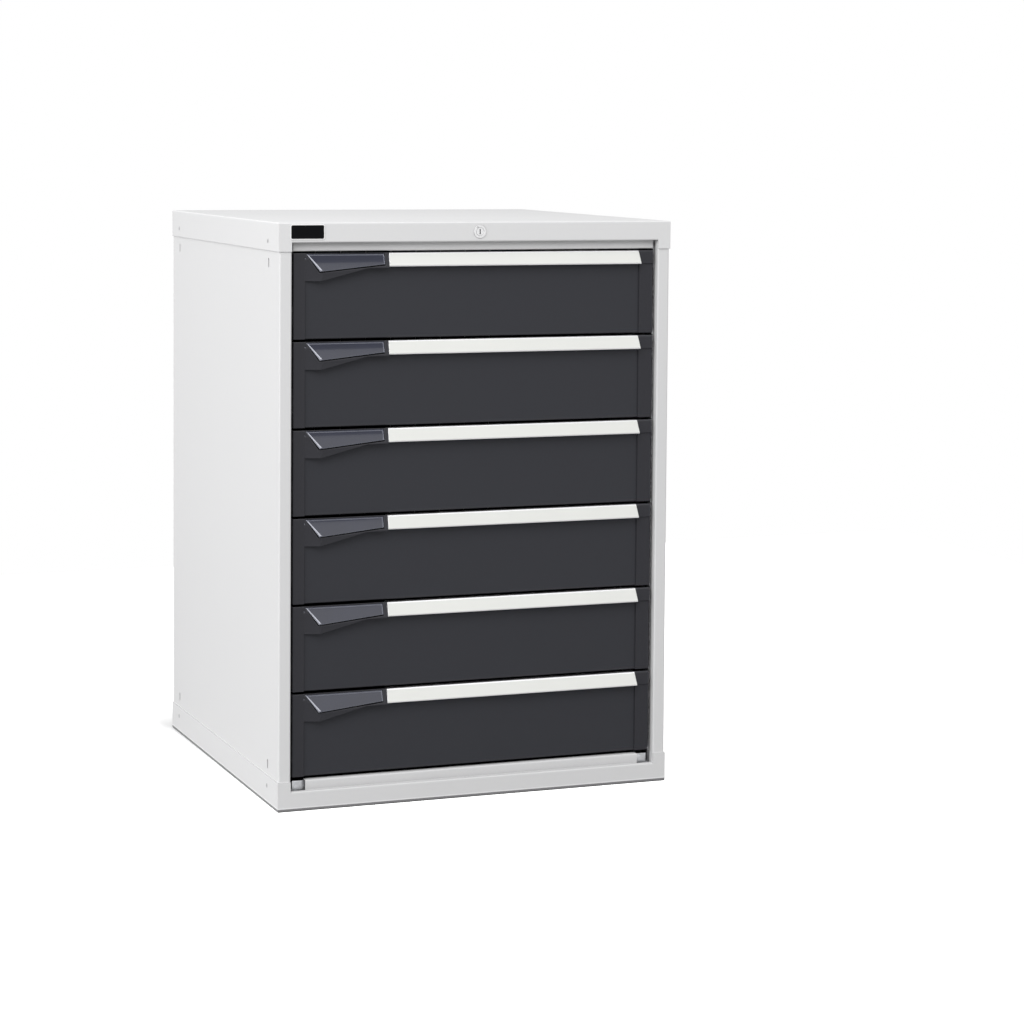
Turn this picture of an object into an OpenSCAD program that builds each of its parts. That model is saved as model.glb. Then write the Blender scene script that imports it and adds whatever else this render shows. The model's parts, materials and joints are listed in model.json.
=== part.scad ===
// Workshop drawer cabinet with six full-extension drawers.
// The front faces -Y, +Z is up, and the origin is the centre of the footprint on the floor.
// Each drawer rides on a pair of roller slides, opens with a thumb lever at the left end of
// its handle bar, and is locked with the others by one bar behind the drawers.

/* [Cabinet] */
// Overall width, over the cover and the base
cab_w = 717; // [600:1:900]
// Overall depth, from the lock face to the back of the cover
cab_d = 725; // [650:1:850]
// Thickness of the cabinet's sheet steel
sheet = 1.5; // [1:0.1:2]
// Outside radius of the folds
bend_r = 2.5; // [2.2:0.1:4]
// Height of the cover's side flanges
flange_h = 49; // [44:1:60]
// Height of the base's side flanges
base_h = 51; // [44:1:60]
// Height of their lips across the front
lip_h = 34; // [31:1:40]
// Depth of the step behind the cover's lip
step_d = 12; // [8:1:16]
// Depth of the step behind the base's lip
base_step = 8; // [6:1:12]
// Width of the stile, the side panel's folded front edge
stile_w = 21.5; // [18:0.5:26]
// Depth of the fold behind the stile
reveal_d = 16; // [14:1:26]
// Open corner at each end of the cover's inner step
cover_notch = 5; // [3:1:20]
// Open corner at each end of the base's inner step
base_notch = 28; // [10:1:32]
// Length of the vertical joining slots in the side panels
side_slot_l = 16; // [8:1:24]
// Width of the joining slots
side_slot_w = 5; // [3:0.5:8]
// Height of the slots' centres above the floor and below the top
side_slot_z = 70; // [66:1:72]
// Distance of the slots and screws from the front
fix_front = 68; // [60:1:80]
// Distance of the slots and screws from the back
fix_back = 52; // [46:1:54]
// Radius of a side screw's shank
screw_r = 2; // [1.5:0.1:2.5]
// Length of a side screw
screw_l = 9; // [6:1:14]
// Height of the side screws above the floor and below the top
screw_z = 33; // [24:1:38]

/* [Drawers] */
// Vertical pitch of the slots in the uprights
grid = 25; // [23:1:32]
// Gap between two drawer fronts
front_gap = 4.5; // [2:0.5:5]
// Gap between the base's step and the lowest front
foot_gap = 5.5; // [4.5:0.5:7]
// How much higher the lowest front begins than the others
low_trim = 4; // [0:0.5:4]
// Gap above the highest front
head_gap = 3; // [2.5:0.5:8]
// Gap between a front's edge and the stile
side_gap = 6; // [4:0.5:8]
// How far the end mouldings lie behind the stile's face
front_set = 9.5; // [9:0.5:12]
// How far the end mouldings stand in front of the steel front
moulding_t = 3; // [2:0.5:4]
// Thickness of the drawers' sheet steel
tray_t = 1; // [0.8:0.1:1.5]
// Depth of the hollow front
front_d = 14; // [13:1:20]
// Height of the lips that hold the front to the tray
front_lip = 24; // [20:1:30]
// Height of the tray's walls
tray_h = 124; // [100:1:130]
// Height of the tray's floor above the front's lower edge
tray_lift = 8; // [5:1:12]
// Width of the hem that turns out along the side walls
hem_w = 8; // [5:1:10]
// Pitch of the slots for dividers in the tray's end walls
divider_pitch = 51; // [34:17:102]
// Height of the divider slots
divider_h = 60; // [20:1:76]
// Space behind the trays for the locking bar
rear_room = 92; // [86:1:120]

/* [Slides] */
// Height of the fixed and the drawer rails
rail_h = 32; // [28:1:38]
// Width of one rail
rail_w = 12.5; // [11:0.5:13]
// Height of the rails' centre above the front's lower edge
rail_lift = 40; // [34:1:60]
// Gap between a rail's edge and the moving member
run_gap = 1; // [0.6:0.1:1.2]
// Height of the moving member
member_h = 24; // [18:1:26]
// Clearance of a roller above and below
roller_gap = 0.3; // [0.2:0.1:0.5]
// Width of a roller
roller_w = 9; // [6:0.5:9.5]
// Radius of a roller's rivet
rivet_r = 4; // [3:0.5:5]
// Length of the last stretch of the tray that stays in the cabinet
tail = 12; // [0:1:60]

/* [Handle] */
// Height of the handle bar
bar_h = 23; // [20:0.5:26]
// How far the bar's lower edge stands in front of its upper edge
bar_lean = 10.7; // [8:0.1:12]
// Thickness of the bar's profile
bar_t = 1.6; // [1.2:0.1:2]
// How much shorter the bar is at its top right corner
bar_cut = 2; // [0:0.5:5]
// How much shorter the bar is at its top left corner
bar_trim = 2; // [0:0.5:3]
// Thickness of the label strip
label_t = 0.7; // [0.5:0.1:0.8]
// Width of the left end moulding below the grip
left_w = 20; // [12:1:24]
// Width of the right end moulding
right_w = 25.5; // [18:0.5:34]
// Width of the grip, from the front's left edge to the bar
grip_w = 166.5; // [140:0.5:200]
// Height of the grip at its left end
grip_h = 47; // [42:1:52]
// Height of the grip where it meets the bar
grip_low = 26; // [25:0.5:28]
// Wall of the grip moulding
grip_wall = 2; // [1.5:0.1:2.5]
// Gap all round the thumb lever
lever_gap = 1; // [0.6:0.1:1.5]
// Thickness of the thumb lever
lever_t = 2.2; // [1.8:0.1:2.4]
// Radius of the lever's bulging face
face_r = 150; // [100:5:400]
// Width of the lever's raised rim
rim_w = 1.2; // [0.8:0.1:2]
// Height of the rim above the face
rim_h = 0.4; // [0.2:0.1:0.5]
// Gap below the lever, which drops as it tips inwards
lever_drop = 2.1; // [2:0.1:3]
// Radius of the lever's pivot
pivot_r = 1.5; // [1.2:0.1:1.6]
// Height by which the hook clears its keeper
hook_gap = 0.4; // [0.3:0.1:2]

/* [Lock] */
// Radius of the lock's flange
lock_r = 11.5; // [10:0.5:13]
// Radius of the lock's barrel
barrel_r = 9.5; // [8.5:0.5:9.5]
// Radius of the turning plug
plug_r = 7; // [5:0.5:7.5]
// Radius of the rod between the plug and the crank
rod_r = 4; // [3:0.5:5]
// Throw of the crank
crank_r = 12; // [10:0.5:14]
// Radius of the crank pin
crank_pin_r = 2.5; // [2:0.5:3]
// Width of the locking bar
bolt_w = 30; // [28:1:40]
// Thickness of the locking bar
bolt_t = 3; // [2:0.5:4]
// Play of the crank pin in the bar's slot
crank_play = 0.6; // [0.5:0.1:1]

/* [Hidden] */
PARTS = ["tray", "front", "handle", "label", "grip", "cap", "catch", "slides"];
COUNT = 6;

light_grey = "gainsboro";
zinc = "silver";
anthracite = [0.24, 0.24, 0.26];
$fn = 48;
eps = 0.05;
cut = 1;
fit_gap = 0.5;
fold_steps = 4;

// Heights
pitch = 6 * grid;
stack_z = base_h + foot_gap - low_trim;
front_h = pitch - front_gap;
stack_top = stack_z + COUNT * pitch - front_gap;
cab_h = stack_top + head_gap + flange_h;

// Across the width, from the centre out
half_w = cab_w / 2;
wall_x = half_w - sheet;
inner_x = wall_x - sheet;
open_x = wall_x - stile_w;
front_x = open_x - side_gap;
member_t = 1.5;
rail_t = 1.5;
member_x = open_x - rail_w - run_gap;
runner_x = member_x - member_t - run_gap - rail_w;
tray_x = runner_x - eps;

// Front to back
face_y = -cab_d / 2;
lock_proud = 1;
cover_y = face_y + lock_proud;
stile_y = cover_y + sheet;
step_back = 15;
base_step_y = cover_y + base_step;
lip_lap = 10;
rear_flange = 20;
mould_y = stile_y + front_set;
front_y = mould_y + moulding_t;
front_t = 1.2;
end_t = 1.5;
tray_y = front_y + front_d;
back_y = cab_d / 2 - sheet;
tray_end = cab_d / 2 - rear_room;
travel = tray_end - tray_y - 2 * tray_t - tail;

// Uprights and rails
post_w = 30;
post_gap = 6.5;
post_y = stile_y + reveal_d + post_gap;
panel_z = bend_r + fit_gap;
reveal_top = lip_h + fit_gap;
rail_set = 6;
rail_over = 36;
rail_y = post_y + rail_set;
rail_l = tray_end + rail_over - rail_y;
slot_w = 4;
slot_h = 12;
hook_d = 3;
foot_set = 9;
foot_w = 40;
foot_open = 7;
roller_r = rail_h / 2 - rail_t - roller_gap;
stop_gap = 1;
rivet_head = 1;
rivet_rim = 1.5;
roller_slack = 0.2;
washer = 0.6;
end_gap = 2;
roller_set = 4;

// Tray
hem_drop = 6;
slot_down = 12;
divider_w = 2;
weld_r = 0.8;

// Handle bar: its back wall, and the depth of its upper and lower edges
bar_back = 20;
bar_over = 12;
bar_foot = 4;
bar_brow = 0.4;
bar_step = 0.7;
label_top = 2.5;
label_foot = 2;
cap_out = 2;

// Grip, as widths from its ends, depths below the top and how far it stands out
ramp_w = 34;
deep_w = 47;
level_w = 38;
brow_out = 1.4;
nose_out = 9.6;
nose_z = 24;
chin_out = 7;

// Lever: its left end, slant and right end, and the ends of its face as [how far out, how far down]
lever_x = 22;
lever_slant = 21.5;
lever_end = 7.5;
lever_top = [0.8, 1.8];
lever_tip = [11.2, 31];
lever_low = 19.5;

// Pivot and hook, just in front of the steel front and behind it
pivot_gap = 0.2;
pivot_y = front_y - pivot_r - pivot_gap;
pivot_z = 9;
neck_x = lever_x + 6;
neck_w = 7;
link_gap = 1;
link_t = 4;
link_y = front_y + front_t + link_gap;
hook_x = front_x - 4;
hook_w = 7;
hook_t = 4.4;
hook_play = 1;
hook_heel = 1;
hook_reach = 15.6;
hook_y = tray_y + hook_reach;
tooth_t = 5;
keeper_h = 6;
keeper_t = 2;
keeper_l = 10;
window_gap = 2;
lip_web = 3.2;

// Lock
lock_z = lip_h / 2;
plug_l = 22;
nut_t = 4;
nut_w = 3;
plug_set = 0.4;
key_w = 1.8;
key_h = 9;
key_d = 8;
crank_back = 14;
crank_y = tray_end + crank_back;
crank_t = 3;
bolt_y = crank_y + crank_t + 3;
crank_out = 1;
lift = 2 * crank_r * sin(45);
bolt_x = crank_r * (1 + cos(45)) / 2;
bolt_gap = 2;
bolt_end = 6;
arm_w = 10;
plate_t = 3;
tooth_down = 20;
tooth_over = 1;
tooth_h = lift - bolt_gap + tooth_over;
bolt_play = 2;
bolt_root = 4;
arm_root = 2;
channel_gap = 8;
channel_d = 18;
loop_h = 12;
loop_t = 2;
bracket_l = 22;
bracket_w = 28;
bracket_t = 2;
bracket_set = 8;

function drawer_z(i) = stack_z + (COUNT - i) * pitch;
function front_low(i) = drawer_z(i) + (i == COUNT ? low_trim : 0);
function unit(v) = v / norm(v);
function left_of(v) = [-v[1], v[0]];

// Points along a fold at the middle one of three points, at one surface of the sheet.
function fold_points(a, p, b, t, r, side) =
    let (
        n1 = left_of(unit(p - a)),
        n2 = left_of(unit(b - p)),
        turn = atan2(n1[0] * n2[1] - n1[1] * n2[0], n1 * n2),
        s = sign(turn),
        r0 = s > 0 ? r : r - t,
        c = p + s * r0 * (n1 + n2) / (1 + n1 * n2),
        rs = side == 0 ? r0 : r0 - s * t,
        start = atan2(n1[1], n1[0])
    )
    [for (k = [0:fold_steps]) let (g = start + turn * k / fold_steps) c - s * rs * [cos(g), sin(g)]];

// One skin of a folded sheet: side 0 runs along the path, side 1 lies t to its left.
function skin(path, t, r, side) =
    let (
        last = len(path) - 1,
        n_a = left_of(unit(path[1] - path[0])),
        n_b = left_of(unit(path[last] - path[last - 1]))
    )
    concat(
        [path[0] + side * t * n_a],
        [for (k = [1:1:last - 1]) each fold_points(path[k - 1], path[k], path[k + 1], t, r, side)],
        [path[last] + side * t * n_b]);

function reversed(v) = [for (k = [len(v) - 1:-1:0]) v[k]];

// Outline of a sheet folded along a path, lying to its left, with outside bend radius r.
function folded(path, t, r) = concat(skin(path, t, r, 0), reversed(skin(path, t, r, 1)));

// The same, lying to the right of its path.
function flip(v) = [for (p = v) [p[0], -p[1]]];
function folded_right(path, t, r) = flip(folded(flip(path), t, r));

// A box between two opposite corners
module block(lo, hi) {
    translate(lo) cube(hi - lo);
}

// An outline in Y and Z, extruded along X
module along_x(points, x0, x1) {
    translate([x0, 0, 0]) rotate([90, 0, 90]) linear_extrude(x1 - x0) polygon(points);
}

// An outline in X and Z, extruded along Y
module along_y(points, y0, y1) {
    translate([0, y1, 0]) rotate([90, 0, 0]) linear_extrude(y1 - y0) polygon(points);
}

// An outline in X and Y, extruded along Z
module along_z(points, z0, z1) {
    translate([0, 0, z0]) linear_extrude(z1 - z0) polygon(points);
}

// A round bar along Y or X, from one end to the other
module bar_y(r, x, y0, y1, z) {
    translate([x, y1, z]) rotate([90, 0, 0]) cylinder(r = r, h = y1 - y0);
}

module bar_x(r, x0, x1, y, z) {
    translate([x0, y, z]) rotate([0, 90, 0]) cylinder(r = r, h = x1 - x0);
}

// The same piece on both sides
module both_sides() {
    children();
    mirror([1, 0, 0]) children();
}

// Cabinet body ------------------------------------------------------------------------------

// Half of a width or depth, with its lower edges folded at the bend radius
function hull_profile(half, h, r) = concat(
    [for (k = [0:fold_steps]) let (g = 180 + 90 * k / fold_steps) [r - half + r * cos(g), r + r * sin(g)]],
    [for (k = [0:fold_steps]) let (g = 270 + 90 * k / fold_steps) [half - r + r * cos(g), r + r * sin(g)]],
    [[half, h], [-half, h]]);

// A block with its four lower edges rounded, as a folded pan has them
module pan_form(half_x, half_y, h, r) {
    intersection() {
        along_y(hull_profile(half_x, h, r), -half_y, half_y);
        along_x(hull_profile(half_y, h, r), -half_x, half_x);
    }
}

// Where the side screws and the joining slots lie, from the front and from the back
fix_y = [face_y + fix_front, cab_d / 2 - fix_back];

// The pan that closes the cabinet: flanges upward, with a lower lip and an inner step in front
module end_pan(notch, h, depth) {
    pan_y = (cover_y + cab_d / 2) / 2;
    pan_half = (cab_d / 2 - cover_y) / 2;
    step_y = cover_y + depth;
    step_path = [[cover_y, lip_h - lip_lap], [cover_y, lip_h], [step_y, lip_h], [step_y, h],
                 [step_y + step_back, h]];
    difference() {
        union() {
            difference() {
                translate([0, pan_y, 0]) pan_form(half_w, pan_half, h, bend_r);
                translate([0, pan_y, sheet])
                    pan_form(half_w - sheet, pan_half - sheet, h, bend_r - sheet);
                block([-open_x, cover_y - cut, lip_h - bend_r], [open_x, cover_y + bend_r, h + cut]);
            }
            step_sheet(step_path, notch);
        }
        both_sides() for (y = fix_y) screw_form(half_w, y, screw_z, eps);
    }
}

// The folded step behind the lip, with its ledge running on to the stiles
module step_sheet(path, notch) {
    ledge = [path[0], path[1], path[2]];
    along_x(folded_right(path, sheet, bend_r), notch - open_x, open_x - notch);
    along_x(folded_right(ledge, sheet, bend_r), -open_x, open_x);
}

// A countersunk screw that enters a side from x
module screw_form(x, y, z, play) {
    head = 2 * screw_r;
    bar_x(screw_r + play, x - screw_l, x, y, z);
    translate([x - screw_r, y, z]) rotate([0, 90, 0])
        cylinder(r1 = screw_r + play, r2 = head + play, h = screw_r);
}

// A vertical slot through a side panel
module side_slot(y, z) {
    reach = side_slot_l / 2 - side_slot_w / 2;
    x0 = inner_x - cut;
    x1 = wall_x + cut;
    bar_x(side_slot_w / 2, x0, x1, y, z - reach);
    bar_x(side_slot_w / 2, x0, x1, y, z + reach);
    block([x0, y - side_slot_w / 2, z - reach], [x1, y + side_slot_w / 2, z + reach]);
}

// One side: wall, front stile with its reveal, and rear flange, folded from one sheet.
// The reveal ends below the cover's inner step.
module side_panel() {
    path = [[open_x, stile_y + reveal_d], [open_x, stile_y], [wall_x, stile_y],
            [wall_x, back_y - sheet], [wall_x - rear_flange, back_y - sheet]];
    difference() {
        along_z(folded(path, sheet, bend_r), panel_z, cab_h - panel_z);
        for (y = fix_y, z = [side_slot_z, cab_h - side_slot_z]) side_slot(y, z);
        for (y = fix_y) {
            screw_form(half_w, y, screw_z, eps);
            translate([0, 0, cab_h]) mirror([0, 0, 1]) screw_form(half_w, y, screw_z, eps);
        }
        block([open_x - cut, stile_y + bend_r, cab_h - reveal_top], [open_x + bend_r, post_y, cab_h]);
    }
}

module side_left() {
    color(light_grey) mirror([1, 0, 0]) side_panel();
}

module side_right() {
    color(light_grey) side_panel();
}

module back_panel() {
    edge = wall_x - fit_gap;
    color(light_grey)
        block([-edge, back_y - sheet, panel_z], [edge, back_y, cab_h - panel_z]);
}

module top_cover() {
    color(light_grey) difference() {
        translate([0, 0, cab_h]) mirror([0, 0, 1]) end_pan(cover_notch, flange_h, step_d);
        bar_y(barrel_r + eps, 0, cover_y - cut, cover_y + sheet + cut, cab_h - lock_z);
    }
}

module base() {
    color(light_grey) end_pan(base_notch, base_h, base_step);
}

module screws() {
    color(zinc) both_sides() for (y = fix_y) {
        screw_form(half_w, y, screw_z, 0);
        translate([0, 0, cab_h]) mirror([0, 0, 1]) screw_form(half_w, y, screw_z, 0);
    }
}

// Uprights and rails ------------------------------------------------------------------------

// A slotted upright of C section, open towards the side panel
module post(y) {
    path = [[inner_x, y + post_w], [open_x, y + post_w], [open_x, y], [inner_x, y]];
    first = drawer_z(COUNT) + rail_lift - grid / 2;
    difference() {
        along_z(folded(path, sheet, bend_r), panel_z, cab_h - panel_z);
        for (k = [0:6 * COUNT - 1])
            translate([open_x - cut, y + post_w / 2 - slot_w / 2, first + k * grid - slot_h / 2])
                cube([sheet + 2 * cut, slot_w, slot_h]);
    }
}

rear_post_y = rail_y + rail_l - post_w;

// A drawer's keeper, a welded tab that its hook passes over
module keeper(i) {
    top = drawer_z(i) + front_h - pivot_z - keeper_h - hook_gap;
    low = top - keeper_l;
    back = hook_y - tooth_t - hook_play;
    block([-open_x, back - keeper_t, low], [hook_w + hook_play - hook_x, back, top]);
    block([-open_x, post_y + keeper_t, low], [keeper_t - open_x, back, top]);
}

// The foot in front of a front upright, an angle that stands on the base and closes its corner
module upright_foot() {
    y = base_step_y + foot_set;
    path = [[open_x - foot_w, y], [open_x - eps, y], [open_x - eps, post_y + post_w / 2]];
    difference() {
        along_z(folded(path, sheet, bend_r), sheet + eps, base_h - sheet - fit_gap);
        block([open_x - foot_open, y - cut, lip_h], [open_x + cut, post_y, base_h]);
    }
}

module posts() {
    color(zinc) {
        both_sides() post(post_y);
        both_sides() post(rear_post_y);
        both_sides() upright_foot();
        for (i = [1:COUNT]) keeper(i);
    }
}

// A rail of C section along Y, its web at x and its mouth towards +X, closed at the front or back
module rail(x, y0, y1, z, front_stop) {
    h = rail_h / 2;
    a = front_stop ? y0 + rail_t : y0 - cut;
    b = front_stop ? y1 + cut : y1 - rail_t;
    difference() {
        block([x, y0, z - h], [x + rail_w, y1, z + h]);
        block([x + rail_t, a, z - h + rail_t], [x + rail_w + cut, b, z + h - rail_t]);
    }
}

// The two hooks that hang a fixed rail in an upright's slots
module rail_hooks(y, z) {
    half = slot_w / 2 - fit_gap;
    middle = y + post_w / 2;
    for (centre = [z - grid / 2, z + grid / 2])
        block([open_x - rail_t, middle - half, centre - slot_h / 2 + 1],
              [open_x + hook_d, middle + half, centre + slot_h / 2 - 2]);
}

module rails() {
    color(zinc) both_sides() for (i = [1:COUNT]) {
        z = drawer_z(i) + rail_lift;
        mirror([1, 0, 0]) rail(-open_x, rail_y, rail_y + rail_l, z, true);
        rail_hooks(post_y, z);
        rail_hooks(rear_post_y, z);
    }
}

// Drawers -----------------------------------------------------------------------------------

// The tray's side rail ends level with its back
runner_y = rail_y + 1;

// The tray, welded from a folded body, two end walls and two side rails
module drawer_tray(i) {
    z0 = drawer_z(i) + tray_lift;
    z1 = z0 + tray_h;
    color(anthracite) {
        tray_body(z0, z1);
        end_wall(tray_y, z0, z1);
        end_wall(tray_end - tray_t, z0, z1);
        both_sides() rail(runner_x, runner_y, tray_end, drawer_z(i) + rail_lift, false);
        lock_arm(i);
    }
}

// Floor, side walls and hems, folded from one sheet
module tray_body(z0, z1) {
    hem_x = tray_x + hem_w - tray_t;
    hem_z = z1 - tray_t;
    half = [[hem_x, z1 - hem_drop], [hem_x, hem_z], [tray_x, hem_z], [tray_x, z0]];
    path = concat(half, [for (p = reversed(half)) [-p[0], p[1]]]);
    along_y(folded_right(path, tray_t, tray_t + weld_r), tray_y, tray_end);
}

// An end wall that stands in the folded body, with its row of slots for dividers
module end_wall(y, z0, z1) {
    x = tray_x - tray_t - eps;
    z = z0 + tray_t + eps;
    count = floor((x - divider_pitch / 2) / divider_pitch);
    difference() {
        along_y([[-x, z1], [-x, z + 1], [1 - x, z], [x - 1, z], [x, z + 1], [x, z1]], y, y + tray_t);
        for (k = [-count:count])
            block([k * divider_pitch - divider_w / 2, y - cut, z1 - slot_down - divider_h],
                  [k * divider_pitch + divider_w / 2, y + tray_t + cut, z1 - slot_down]);
    }
}

// Height of the top of a drawer's locking tooth
function tooth_z(i) = drawer_z(i) + tray_lift + tray_h - tooth_down;

// The arm behind a tray, with the tooth that the locking bar catches
module lock_arm(i) {
    top = tooth_z(i);
    low = top - tooth_h - plate_t;
    x = bolt_x;
    path = [[tray_end + 1, low], [crank_y, low], [crank_y, top], [crank_y - plate_t, top],
            [crank_y - plate_t, low + plate_t], [tray_end + 1, low + plate_t]];
    along_x(path, x - arm_w / 2, x + arm_w / 2);
    block([x - arm_w, tray_end - tray_t / 2, low - arm_w],
          [x + arm_w, tray_end + arm_root, low + plate_t + bolt_root]);
}

// The hollow steel front, roll-formed, with lips that lie on the tray; the bar's upper flange covers it
module drawer_front(i) {
    z0 = front_low(i);
    z1 = drawer_z(i) + front_h - bar_t - eps;
    edge = front_x - end_t;
    path = [[tray_y, z1 - front_lip], [tray_y, z1], [front_y, z1], [front_y, z0], [tray_y, z0],
            [tray_y, z0 + front_lip]];
    color(anthracite) difference() {
        along_x(folded(path, front_t, 2), -edge, edge);
        lever_window(i);
    }
}

// The openings in the steel front for the lever's neck, and in its lip for the hook's arm
module lever_window(i) {
    z1 = drawer_z(i) + front_h;
    x = neck_x - front_x;
    h = hook_t / 2 + window_gap;
    block([x - hook_play, front_y - cut, z1 - pivot_z - h],
          [x + neck_w + hook_play, front_y + front_t + cut, z1 - pivot_z + h]);
    block([-hook_x - hook_play, tray_y - front_t - cut, z1 - front_lip - cut],
          [hook_w + hook_play - hook_x, tray_y + cut, z1 - lip_web]);
}

// The handle bar: a leaning face with a back wall, open below for the fingers, and a flange
// that runs back over the steel front
function bar_path(z1) =
    let (brow_y = mould_y - bar_brow, low = z1 - bar_step - bar_h)
    [[front_y, z1 - bar_back], [front_y, z1], [brow_y, z1], [brow_y - bar_lean, low],
     [brow_y - bar_lean + bar_foot, low]];

bar_x0 = grip_w - front_x;
bar_x1 = front_x - right_w;

// The bar's outline from the front, with both ends cut at a slant
module bar_outline(z1, x0, x1) {
    low = z1 - bar_step - bar_h - cut;
    high = z1 + cut;
    along_y([[x0 + bar_trim, high], [x0, low], [x1, low], [x1 - bar_cut, high]],
            mould_y - bar_lean - cut, tray_y);
}

module drawer_handle(i) {
    z1 = drawer_z(i) + front_h;
    color("lightgrey") intersection() {
        union() {
            along_x(folded(bar_path(z1), bar_t, bar_t + 0.3), bar_x0, bar_x1);
            block([bar_x0, front_y - bar_t, z1 - bar_t], [bar_x1, front_y + bar_over, z1]);
        }
        bar_outline(z1, bar_x0, bar_x1);
    }
}

module drawer_label(i) {
    z1 = drawer_z(i) + front_h;
    path = bar_path(z1);
    along = unit(path[3] - path[2]);
    a = path[2] + label_top * along;
    b = path[3] - label_foot * along;
    out = -label_t * left_of(along);
    color("white") intersection() {
        along_x([a, b, b + out, a + out], bar_x0, bar_x1);
        bar_outline(z1, bar_x0 + fit_gap, bar_x1 - fit_gap);
    }
}

// Outline of the grip from the front, drawn in by a wall
function grip_outline(x0, z1, t) = [
    [x0 + t, z1 - t], [x0 + grip_w - t, z1 - t], [x0 + grip_w - t, z1 - grip_low + t],
    [x0 + grip_w - level_w, z1 - grip_low + t], [x0 + deep_w, z1 - grip_h + t], [x0 + t, z1 - grip_h + t]];

// The grip's form: its outline, cut by the ramp seen from above and the face seen from the side
module grip_form(i, t) {
    x0 = -front_x;
    z1 = drawer_z(i) + front_h;
    deep = mould_y - nose_out + t;
    intersection() {
        along_y(grip_outline(x0, z1, t), deep, front_y);
        along_z([[x0, front_y], [x0, mould_y + t], [x0 + left_w, mould_y + t], [x0 + left_w + ramp_w, deep],
                 [x0 + grip_w, deep], [x0 + grip_w, front_y]], z1 - grip_h, z1);
        along_x([[front_y, z1], [mould_y - brow_out + t, z1], [deep, z1 - nose_z],
                 [mould_y - chin_out + t, z1 - grip_h], [front_y, z1 - grip_h]], x0, x0 + grip_w);
    }
}

// Outline of the thumb lever from the front, grown by a gap and by another gap below
function lever_outline(i, gap, under) =
    let (
        x0 = -front_x,
        z1 = drawer_z(i) + front_h,
        slope = lever_slant / (lever_tip[1] - lever_top[1]),
        end = x0 + grip_w - lever_end + gap
    )
    [[x0 + lever_x - (slope + 0.5) * gap, z1 - lever_top[1] + gap], [end, z1 - lever_top[1] + gap],
     [end, z1 - lever_low - under],
     [x0 + lever_x + lever_slant - gap + slope * (under - gap), z1 - lever_tip[1] - under]];

// Centre of the lever's face, an arc through the two ends of its profile, in Y and Z
function face_centre(i) =
    let (
        corner = [mould_y, drawer_z(i) + front_h],
        a = corner - lever_top,
        b = corner - lever_tip
    )
    (a + b) / 2 + sqrt(face_r * face_r - pow(norm(b - a) / 2, 2)) * left_of(unit(b - a));

// The left end moulding: full-height strip, end wall and the hollow grip around the lever
module drawer_grip(i) {
    x0 = -front_x;
    z0 = front_low(i);
    z1 = drawer_z(i) + front_h;
    color(anthracite) {
        difference() {
            union() {
                block([x0, mould_y, z0], [x0 + left_w, front_y, z1]);
                grip_form(i, 0);
            }
            intersection() {
                grip_form(i, grip_wall);
                block([x0 + pivot_seat, mould_y - nose_out, z0], [0, front_y, z1]);
            }
            along_y(lever_outline(i, lever_gap, lever_drop), mould_y - nose_out - cut, front_y + cut);
            pivot_slot(z1 - pivot_z);
        }
        block([x0, front_y, z0], [x0 + end_t, tray_y - 1, z1]);
    }
}

// How far the solid seat of the pivot reaches, up to the lever's opening
pivot_seat = lever_x + 0.5;

// The slot that holds both ends of the pivot, open at the back, where the steel front closes it
module pivot_slot(z) {
    r = pivot_r + eps;
    x0 = pivot_seat - 3 - front_x;
    x1 = grip_w + 1 - front_x;
    bar_x(r, x0, x1, pivot_y, z);
    block([x0, pivot_y, z - r], [x1, front_y + cut, z + r]);
}

// The right end moulding: strip, end wall and the block that closes the bar along its slant
module drawer_cap(i) {
    z0 = front_low(i);
    z1 = drawer_z(i) + front_h;
    x0 = front_x - right_w;
    brow = 0.8;
    low = z1 - bar_h - 1;
    color(anthracite) {
        block([x0, mould_y, z0], [front_x, front_y, z1]);
        intersection() {
            along_x([[front_y, z1], [mould_y, z1], [mould_y - brow, z1 - brow], [mould_y - cap_out, low + 1],
                     [mould_y, low], [front_y, low]], x0 - bar_cut, front_x);
            along_y([[x0 + eps - bar_cut, z1], [x0 + eps, low], [front_x, low], [front_x, z1]],
                    mould_y - cap_out, front_y);
        }
        block([front_x - end_t, front_y, z0], [front_x, tray_y - 1, z1]);
    }
}

// The thumb lever: paddle with its rim, pivot, and the neck and link of the hook behind the front
module drawer_catch(i) {
    x0 = -front_x;
    axis_z = drawer_z(i) + front_h - pivot_z;
    end = x0 + grip_w;
    middle = face_centre(i);
    rib_y = middle[0] - sqrt(pow(face_r - lever_t / 2, 2) - pow(axis_z - middle[1], 2));
    y0 = mould_y - nose_out - lever_t;
    color([0.16, 0.18, 0.25]) {
        intersection() {
            along_y(lever_outline(i, 0, 0), y0 - cut, front_y);
            face_shell(middle, face_r - lever_t, face_r);
        }
        intersection() {
            difference() {
                along_y(lever_outline(i, 0, 0), y0 - cut, front_y);
                along_y(lever_outline(i, -rim_w, lever_drop), y0 - 2 * cut, front_y + cut);
            }
            face_shell(middle, face_r - lever_t / 2, face_r + rim_h);
        }
        block([x0 + neck_x, rib_y, axis_z - 1], [end - lever_end - link_t, pivot_y, axis_z + 1]);
        bar_x(pivot_r, x0 + pivot_seat - 3 + pivot_gap, end - pivot_gap, pivot_y, axis_z);
        hook_arm(axis_z);
    }
}

// A curved sheet between two radii, over the width of the grip
module face_shell(middle, r0, r1) {
    translate([-front_x, middle[0], middle[1]]) rotate([0, 90, 0]) difference() {
        cylinder(r = r1, h = grip_w, $fn = 360);
        translate([0, 0, -cut]) cylinder(r = r0, h = grip_w + 2 * cut, $fn = 360);
    }
}

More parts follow.
